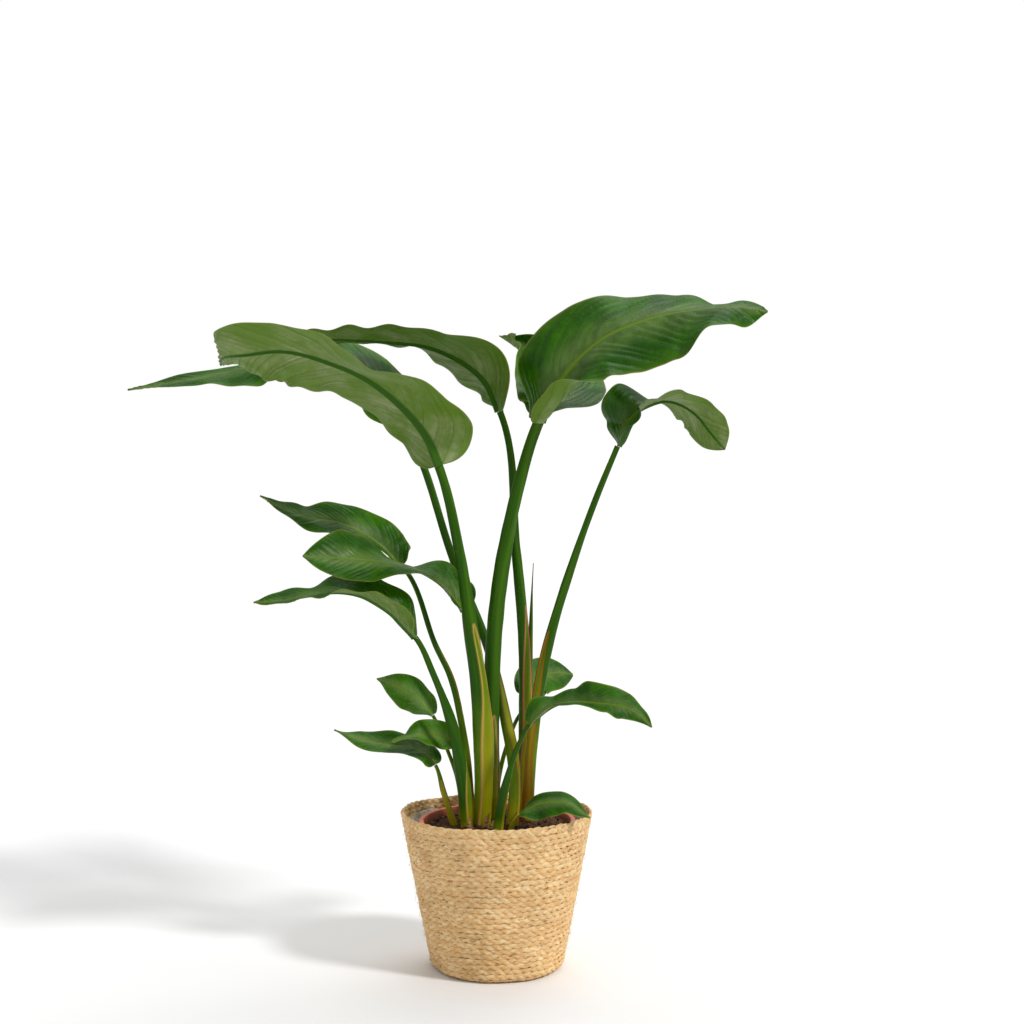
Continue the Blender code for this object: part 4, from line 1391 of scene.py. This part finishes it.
        middle = np.linspace(-1.0, 1.0, 7)[1:-1]
        dip = np.cos(middle * math.pi / 2.0) ** 2
        bridge = centre[:, None] + (rib * middle)[..., None] * right[:, None]
        channel = bridge + ((0.5 * self.thickness - 0.22 * rib * dip))[..., None] * above[:, None]
        ridge = bridge - ((0.5 * self.thickness + self.rib_depth * rib * np.sqrt(dip)))[
            ..., None] * above[:, None]
        over = np.concatenate([tops[0][:, ::-1], channel, tops[1]], axis=1)
        below = np.concatenate([unders[0][:, ::-1], ridge, unders[1]], axis=1)
        rings = np.concatenate([over, below[:, ::-1]], axis=1)
        side = np.concatenate([np.zeros(over.shape[1]), np.ones(over.shape[1])])
        blank = np.zeros((levels, len(middle)))

        def spread(index: int, between: Array) -> Array:
            """A mark of both halves and the midrib, laid over the top and back below."""
            line = np.concatenate([marks[0][index][:, ::-1], between, marks[1][index]], axis=1)
            return np.concatenate([line, line[:, ::-1]], axis=1)[None]

        away = spread(0, blank)
        near = smooth_step(1.0, 0.0, away / np.maximum(0.35 * rib, 0.0003))
        narrow = np.concatenate([np.zeros(self.columns), smooth_step(0.85, 0.35, np.abs(middle)),
                                 np.zeros(self.columns)])
        near[..., :len(narrow)] = narrow
        net = Net()
        net.tubes(rings[None], side=side[None, None], vein=spread(1, blank + run / vein_gap),
                  reach=spread(2, blank), edge=spread(3, blank), rib=near)
        piece = net.piece(f"{leaf.name}_leafblade", green)
        hand_over(piece, "young_leaf" if leaf.fresh else "leaf", f"{leaf.name}_blade")
        return piece


LEAVES = (
    Leaf("tall_front_left",
         stalk=((-0.016, -0.012, 0.1575), (-0.017, -0.026, 0.293), (-0.027, -0.030, 0.367),
                (-0.040, -0.032, 0.457), (-0.062, -0.032, 0.549)),
         radii=(0.0100, 0.0115, 0.0085, 0.0058, 0.0048),
         rib=((-0.077, -0.040, 0.584), (-0.110, -0.052, 0.622), (-0.140, -0.060, 0.644),
              (-0.173, -0.068, 0.658), (-0.222, -0.074, 0.670), (-0.262, -0.068, 0.666),
              (-0.286, -0.040, 0.664), (-0.296, 0.000, 0.656)),
         halves=(0.060, 0.053), lift_left=(80, 32, 4, 18, 38, 75),
         lift_right=(-8, -20, -27, -45, -40, 0), curl_left=(0, 0, 20, 40),
         sheath=Sheath(tip=0.223, facing=-40, spread=75, tint=Tint.TAN), seed=1),
    Leaf("tall_back_left",
         stalk=((0.026, 0.026, 0.1575), (0.031, 0.024, 0.254), (0.030, 0.027, 0.344),
                (0.021, 0.030, 0.452), (0.003, 0.036, 0.606)),
         radii=(0.0070, 0.0075, 0.0062, 0.0046, 0.0036),
         rib=((-0.012, 0.038, 0.637), (-0.042, 0.045, 0.662), (-0.077, 0.052, 0.677),
              (-0.118, 0.058, 0.682), (-0.174, 0.066, 0.685), (-0.241, 0.075, 0.686)),
         halves=(0.048, 0.044), lift_left=(15, 60, 24, 20, 20, 22, 22),
         lift_right=(-5, -25, -38, -20, -3, -5, -10, -10, -10),
         sheath=Sheath(tip=0.235, facing=-55, spread=80, tint=Tint.PINK), seed=2),
    Leaf("tall_far_left",
         stalk=((0.016, -0.018, 0.1575), (0.019, -0.012, 0.215), (0.009, 0.004, 0.274),
                (-0.006, 0.016, 0.336), (-0.050, 0.040, 0.448), (-0.085, 0.049, 0.555)),
         radii=(0.0070, 0.0068, 0.0055, 0.0048, 0.0044, 0.0040),
         rib=((-0.102, 0.054, 0.592), (-0.124, 0.067, 0.621), (-0.152, 0.079, 0.648),
              (-0.187, 0.090, 0.665), (-0.234, 0.108, 0.670), (-0.292, 0.124, 0.652),
              (-0.349, 0.132, 0.641), (-0.421, 0.131, 0.629)),
         halves=(0.048, 0.048), lift_left=(15, -12, -42, -38, -15, -20),
         lift_right=(-27, -20, 20, 24, 8, 8, 12, 20, 18),
         sheath=Sheath(tip=0.175, facing=-30, spread=60, tint=Tint.PURPLE), seed=3),
    Leaf("tall_front_right",
         stalk=((-0.007, 0.010, 0.1575), (-0.006, 0.000, 0.257), (-0.004, -0.006, 0.352),
                (0.001, -0.008, 0.407), (0.008, -0.009, 0.455), (0.022, -0.010, 0.522),
                (0.045, -0.012, 0.596)),
         radii=(0.0072, 0.0080, 0.0086, 0.0084, 0.0068, 0.0058),
         rib=((0.068, -0.018, 0.640), (0.109, -0.028, 0.682), (0.161, -0.040, 0.705),
              (0.213, -0.052, 0.714), (0.254, -0.060, 0.716), (0.282, -0.065, 0.711)),
         halves=(0.064, 0.062), lift_left=(25, 64, 56, 30, 17, 10, 18),
         lift_right=(-60, -75, -40, -55, -55, -18, -70), curl_right=(180, 160, 0, 0, 0, 0, 0),
         lobe=0.018, sheath=Sheath(tip=0.12, facing=-60, spread=60, tint=Tint.TAN), lime=0.09,
         fullness=4.5, seed=4),
    Leaf("tall_right",
         stalk=((0.033, 0.004, 0.1575), (0.038, 0.006, 0.241), (0.048, 0.006, 0.318),
                (0.086, 0.004, 0.454), (0.108, 0.002, 0.515), (0.130, 0.000, 0.569)),
         radii=(0.0065, 0.0062, 0.0062, 0.0048, 0.0036, 0.0030),
         rib=((0.139, 0.002, 0.591), (0.151, 0.006, 0.606), (0.165, 0.006, 0.614),
              (0.183, 0.000, 0.618), (0.201, -0.010, 0.612), (0.215, -0.017, 0.601),
              (0.227, -0.021, 0.585), (0.243, -0.024, 0.566)),
         halves=(0.037, 0.038), lift_left=(-10, 15, 80, 5, -33, -45, -48, -45, -42),
         lift_right=(5, 5, 12, 6, 6, 28, 50, 60, 90), lobe=0.002,
         sheath=Sheath(tip=0.21, facing=-120, spread=60, tint=Tint.ORANGE, flush=0.8),
         fullness=5.0, seed=5),
    Leaf("tall_back",
         stalk=((-0.001, 0.038, 0.1575), (-0.004, 0.036, 0.289), (-0.002, 0.031, 0.378),
                (0.010, 0.014, 0.466), (0.030, 0.016, 0.553), (0.050, 0.032, 0.602)),
         radii=(0.0060, 0.0062, 0.0055, 0.0048, 0.0040, 0.0036),
         rib=((0.065, 0.045, 0.614), (0.070, 0.075, 0.627), (0.063, 0.120, 0.646),
              (0.038, 0.170, 0.668), (0.004, 0.215, 0.692)),
         halves=(0.048, 0.050), lift_left=(10,), lift_right=(2,), curl_left=(0, 0, 60, 150),
         curl_right=(0, 0, 60, 150), seed=6),
    Leaf("middle_upper",
         stalk=((-0.028, 0.008, 0.1575), (-0.039, 0.012, 0.267), (-0.052, 0.016, 0.319),
                (-0.066, 0.022, 0.347), (-0.105, 0.044, 0.435)),
         radii=(0.0040, 0.0042, 0.0036, 0.0030, 0.0026),
         rib=((-0.113, 0.048, 0.442), (-0.124, 0.048, 0.454), (-0.135, 0.047, 0.463),
              (-0.155, 0.044, 0.476), (-0.174, 0.040, 0.484), (-0.208, 0.030, 0.491),
              (-0.233, 0.022, 0.501), (-0.257, 0.014, 0.515)),
         halves=(0.028, 0.028), lift_left=(0, -8, -30, -33, -25, -42),
         lift_right=(90, 70, 52, 40, 30, 27), lobe=0.008,
         sheath=Sheath(tip=0.185, facing=-20, spread=50, tint=Tint.ORANGE), seed=7),
    Leaf("middle_centre",
         stalk=((-0.019, 0.024, 0.1575), (-0.026, 0.016, 0.306), (-0.033, 0.010, 0.366),
                (-0.036, 0.006, 0.389)),
         radii=(0.0040, 0.0038, 0.0032, 0.0028),
         rib=((-0.046, 0.002, 0.404), (-0.057, -0.003, 0.418), (-0.072, -0.010, 0.430),
              (-0.106, -0.024, 0.444), (-0.151, -0.037, 0.450), (-0.205, -0.052, 0.455)),
         halves=(0.032, 0.040), lift_left=(-15, -18, -9, -16, -42, -53, -60),
         lift_right=(80, 50, 3, 6, 35, 75, 75), lobe=0.005, fullness=4.0, seed=8),
    Leaf("middle_lower",
         stalk=((-0.032, -0.022, 0.1575), (-0.036, -0.026, 0.207), (-0.049, -0.032, 0.274),
                (-0.068, -0.036, 0.327), (-0.087, -0.040, 0.367)),
         radii=(0.0075, 0.0078, 0.0062, 0.0038, 0.0030),
         rib=((-0.101, -0.042, 0.382), (-0.110, -0.045, 0.392), (-0.126, -0.050, 0.404),
              (-0.142, -0.055, 0.413), (-0.165, -0.062, 0.418), (-0.196, -0.068, 0.415),
              (-0.227, -0.074, 0.410), (-0.254, -0.078, 0.409)),
         halves=(0.028, 0.035), lift_left=(0, 24, 24, 10, 6, -3, -22),
         lift_right=(15, 62, 42, 25, 15, 25, 33),
         sheath=Sheath(tip=0.10, facing=0, spread=60, tint=Tint.TAN), lime=0.03, seed=9),
    Leaf("low_left_top",
         stalk=((-0.040, 0.014, 0.1575), (-0.044, 0.018, 0.204), (-0.056, 0.024, 0.237),
                (-0.071, 0.026, 0.272)),
         radii=(0.0026, 0.0024, 0.0021, 0.0019),
         rib=((-0.081, 0.028, 0.284), (-0.101, 0.032, 0.299), (-0.133, 0.038, 0.311)),
         halves=(0.020, 0.020), lift_left=(10, -35, -57, -55, -10),
         lift_right=(15, 32, 52, 45, 33), lobe=0.004, fresh=True, wave=0.0008, seed=10),
    Leaf("low_left_centre",
         stalk=((-0.035, -0.004, 0.1575), (-0.036, -0.004, 0.202), (-0.038, -0.004, 0.230),
                (-0.045, -0.004, 0.245)),
         radii=(0.0028, 0.0026, 0.0022, 0.0019),
         rib=((-0.052, -0.004, 0.250), (-0.067, -0.010, 0.256), (-0.085, -0.026, 0.260),
              (-0.113, -0.040, 0.254)),
         halves=(0.014, 0.016), lift_left=(-30, -50, -50, -20, 0),
         lift_right=(100, 88, 65, 5, 10), lobe=0.003, fresh=True, wave=0.0008, seed=11),
    Leaf("low_left_bottom",
         stalk=((-0.046, -0.014, 0.1575), (-0.058, -0.014, 0.195), (-0.067, -0.010, 0.224)),
         radii=(0.0044, 0.0032, 0.0020),
         rib=((-0.073, -0.008, 0.233), (-0.082, -0.006, 0.239), (-0.092, -0.004, 0.242),
              (-0.115, -0.002, 0.244), (-0.143, 0.000, 0.249), (-0.177, 0.000, 0.261)),
         halves=(0.018, 0.018), lift_left=(-30, -8, -18, -30, -12),
         lift_right=(20, 24, 48, 28, -10), lobe=0.004, wave=0.0010, seed=12),
    Leaf("low_right",
         stalk=((0.001, -0.045, 0.1575), (0.010, -0.047, 0.212), (0.024, -0.050, 0.256),
                (0.034, -0.052, 0.275)),
         radii=(0.0062, 0.0052, 0.0030, 0.0022),
         rib=((0.045, -0.055, 0.286), (0.062, -0.058, 0.298), (0.082, -0.061, 0.301),
              (0.108, -0.065, 0.300), (0.135, -0.070, 0.297), (0.162, -0.080, 0.277)),
         halves=(0.022, 0.020), lift_left=(60, 70, 18, 33, 80, 80, 65, 32, 50),
         lift_right=(-3, 0, 5, -3, -3, -12, -60, -75, -75), lobe=0.006,
         sheath=Sheath(tip=0.06, facing=-20, spread=70, tint=Tint.PURPLE), lime=0.02,
         wave=0.0010, seed=13),
    Leaf("low_back",
         stalk=((-0.002, 0.052, 0.1575), (0.009, 0.050, 0.228), (0.021, 0.050, 0.261),
                (0.037, 0.052, 0.288)),
         radii=(0.0032, 0.0026, 0.0022, 0.0019),
         rib=((0.041, 0.056, 0.304), (0.049, 0.064, 0.310), (0.062, 0.078, 0.311),
              (0.076, 0.092, 0.309), (0.086, 0.100, 0.306)),
         halves=(0.022, 0.020), lift_left=(45,), lift_right=(-60,), lobe=0.004, wave=0.0010,
         fullness=4.0, seed=14),
    Leaf("low_front",
         stalk=((0.014, -0.044, 0.1575), (0.018, -0.048, 0.170), (0.024, -0.050, 0.1785)),
         radii=(0.0030, 0.0026, 0.0020),
         rib=((0.035, -0.052, 0.186), (0.046, -0.055, 0.191), (0.062, -0.060, 0.194),
              (0.077, -0.066, 0.193), (0.087, -0.071, 0.187), (0.098, -0.076, 0.180)),
         halves=(0.017, 0.016), lift_left=(10, 22, 27, 0, 3),
         lift_right=(-5, -75, -55, -33, -50), lobe=0.002, wave=0.0010, seed=15),
)


@dataclass
class RolledLeaf:
    """New leaf, still rolled up to a point; the roll's outer edge winds up it as a step."""
    path: tuple[Point, ...] = ((0.034, 0.042, 0.1575), (0.037, 0.040, 0.270),
                               (0.037, 0.037, 0.360), (0.040, 0.036, 0.439))
    radii: tuple[float, ...] = (0.0034, 0.0032, 0.0026, 0.0005)

    def build(self, skin: bpy.types.Material) -> None:
        """Make the roll: its radius grows by a tenth round each turn and drops at the edge.

        Args:
            skin: the finish of young stalks.
        """
        climb = np.linspace(0.0, 1.0, 190)
        centre, tangent = curve_through(self.path, climb)
        tangent[0] = UP
        wide, deep = ring_frame(tangent)
        theta = np.arange(36) / 36.0 * FULL_TURN
        wound = ((theta + 2.0 + 5.0 * climb[:, None]) % FULL_TURN) / FULL_TURN
        step = wound * smooth_step(1.0, 0.94, wound)
        size = along(self.radii, climb)[:, None]
        radius = size * (0.92 + 0.14 * step)
        rings = (centre[:, None] + (radius * np.cos(theta))[..., None] * wide[:, None]
                 + (radius * np.sin(theta))[..., None] * deep[:, None])
        grain = np.stack([size * np.cos(theta), size * np.sin(theta),
                          0.28 * climb[:, None] + 0.0 * theta], axis=-1)
        edge = smooth_step(0.90, 0.98, wound) * 0.7
        blank = np.zeros((1, 1, 1))
        net = Net()
        net.tubes(rings[None], grain=grain[None], lift=(0.5 + 0.3 * climb)[None, :, None],
                  inside=blank, margin=edge[None], groove=blank, flush=blank)
        hand_over(net.piece("rolled_leaf_skin", skin), "young_leaf", "rolled_leaf")


@dataclass
class DryScraps:
    """Torn ends of dry sheaths at the foot of the stalks."""
    paths: tuple[tuple[Point, ...], ...] = (
        ((-0.0290, -0.0335, 0.1575), (-0.0300, -0.0355, 0.166), (-0.0285, -0.0350, 0.174)),
        ((-0.0130, -0.0300, 0.1575), (-0.0115, -0.0320, 0.167), (-0.0075, -0.0325, 0.177)),
        ((-0.0060, -0.0270, 0.1575), (-0.0035, -0.0280, 0.165), (0.0015, -0.0285, 0.169)),
    )
    half_width: float = 0.0034

    def build(self, paper: bpy.types.Material) -> None:
        """Make each scrap: a thin cupped strip that narrows to a ragged point.

        Args:
            paper: the finish of the scraps.
        """
        share = np.linspace(0.0, 1.0, 40)
        across = np.linspace(-1.0, 1.0, 15)
        for index, path in enumerate(self.paths):
            centre, tangent = curve_through(path, share)
            wide, deep = ring_frame(tangent)
            line = np.stack([share * 0.02, share * 0.0], axis=-1)
            ragged = 1.0 + 0.22 * swell(line, 0.003, 90 + index)
            width = self.half_width * (1.0 - share**1.6) * ragged
            width = np.maximum(width, 0.0003)[:, None]
            cup = 0.55 * width * (across**2 - 0.4) * (1.0 + 0.6 * math.sin(index * 2.0))
            mid = (centre[:, None] + (width * across)[..., None] * wide[:, None]
                   + cup[..., None] * deep[:, None])
            half = 0.00016 * deep[:, None]
            rings = np.concatenate([mid - half, (mid + half)[:, ::-1]], axis=1)
            lap = np.concatenate([across, across[::-1]])
            grain = np.stack([0.003 * lap + index + 0.0 * share[:, None],
                              0.0 * lap + 0.0 * share[:, None],
                              0.02 * share[:, None] + 0.0 * lap], axis=-1)
            edge = np.maximum(smooth_step(0.6, 1.0, np.abs(lap)) + 0.0 * share[:, None],
                              smooth_step(0.55, 1.0, share)[:, None] + 0.0 * lap)
            net = Net()
            net.tubes(rings[None], grain=grain[None], edge=edge[None])
            hand_over(net.piece(f"dry_scrap_{index + 1}", paper), "dry_sheath",
                      f"dry_sheath_{index + 1}")


# Plant and studio -------------------------------------------------------------------------
@dataclass
class Plant:
    """All leaves with their finishes, the rolled leaf and the dry scraps."""
    leaves: tuple[Leaf, ...] = LEAVES
    mature: LeafFinish = field(default_factory=lambda: LeafFinish(
        "leaf_mature", upper=display(26, 70, 0), upper_bright=display(66, 122, 8),
        under=display(180, 182, 142), under_green=display(104, 132, 50)))
    fresh: LeafFinish = field(default_factory=lambda: LeafFinish(
        "leaf_fresh", upper=display(44, 100, 2), upper_bright=display(84, 138, 10),
        under=display(138, 160, 66), under_green=display(96, 138, 10)))

    def build(self, effects: Effects) -> None:
        """Build every leaf.

        Args:
            effects: the shared node groups.
        """
        green, bright = self.mature.build(effects), self.fresh.build(effects)
        skins = {tint: StalkFinish(tint).build(effects) for tint in Tint}
        builder = LeafBuilder()
        for leaf in self.leaves:
            builder.stalk(leaf, skins[leaf.sheath.tint])
            builder.blade(leaf, bright if leaf.fresh else green)
        RolledLeaf().build(skins[Tint.TAN])
        DryScraps().build(PaperFinish().build(effects))


@dataclass
class Studio:
    """Pale floor, soft lights and the camera."""
    floor_size: float = 60.0
    camera_place: Point = (0.0, -2.13, 0.642)
    camera_pitch: float = 3.87      # degrees below level
    camera_turn: float = -0.435     # degrees to the right of straight ahead
    lens: float = 69.5
    sky: float = 0.52
    key_strength: float = 1.75
    fill_strength: float = 0.95

    def _floor(self) -> None:
        """A wide floor with a faintly uneven, nearly white finish."""
        half = self.floor_size / 2.0
        mesh = bpy.data.meshes.new("studio_floor")
        mesh.from_pydata([(-half, -half, 0.0), (half, -half, 0.0), (half, half, 0.0),
                          (-half, half, 0.0)], [], [(0, 1, 2, 3)])
        tree, shader, material = new_finish("floor_paint")
        tone = tree.noise(tree.place(), 3.0, 2.0)
        tree.put(shader.inputs["Base Color"],
                 tree.blend(tone, (0.90, 0.90, 0.90), (0.93, 0.93, 0.93)))
        tree.put(shader.inputs["Roughness"], tree.step(tone, 0.3, 0.7, 0.85, 0.95))
        mesh.materials.append(material)
        floor = bpy.data.objects.new("studio_floor", mesh)
        bpy.context.scene.collection.objects.link(floor)

    @staticmethod
    def _light(name: str, lean: float, heading: float, spread: float, strength: float) -> None:
        """Add a wide distant light.

        Args:
            name: the lamp's name.
            lean: degrees that it stands away from straight overhead.
            heading: degrees round from +X that it shines from.
            spread: degrees that it fills in the sky, which softens its shadows.
            strength: its power on a square metre.
        """
        data = bpy.data.lights.new(name, "SUN")
        data.angle = math.radians(spread)
        data.energy = strength
        lamp = bpy.data.objects.new(name, data)
        lamp.rotation_euler = (0.0, math.radians(lean), math.radians(heading))
        bpy.context.scene.collection.objects.link(lamp)

    def build(self) -> None:
        """Make floor, lights, sky and camera."""
        scene = bpy.context.scene
        self._floor()
        self._light("key_light", 48.0, -35.0, 9.0, self.key_strength)
        self._light("fill_light", 25.0, 70.0, 40.0, self.fill_strength)
        world = bpy.data.worlds.new("studio_sky")
        world.use_nodes = True
        tree = Tree(world.node_tree)
        path = tree.node("ShaderNodeLightPath")
        strength = tree.step(path.outputs["Is Camera Ray"], 0.0, 1.0, self.sky, 1.0)
        sky = world.node_tree.nodes["Background"]
        sky.inputs["Color"].default_value = (1.0, 1.0, 1.0, 1.0)
        tree.put(sky.inputs["Strength"], strength)
        scene.world = world
        data = bpy.data.cameras.new("view_camera")
        data.lens = self.lens
        data.clip_start = 0.05
        camera = bpy.data.objects.new("view_camera", data)
        camera.location = self.camera_place
        camera.rotation_euler = (math.radians(90.0 - self.camera_pitch), 0.0,
                                 math.radians(self.camera_turn))
        scene.collection.objects.link(camera)
        scene.camera = camera
        scene.view_settings.view_transform = "Standard"


def main() -> None:
    """Load the frame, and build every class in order."""
    logging.basicConfig(level=logging.INFO, format="%(message)s")
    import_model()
    effects = Effects()
    basket = Basket()
    basket.build(StrawFinish().build(effects))
    Liner(basket).build(FilmFinish().build(effects))
    pot = NurseryPot()
    pot.build(ClayFinish().build(effects))
    Soil(pot, [leaf.stalk[0] for leaf in LEAVES]).build(PeatFinish().build(effects))
    Plant().build(effects)
    Studio().build()


if __name__ == "__main__":
    main()
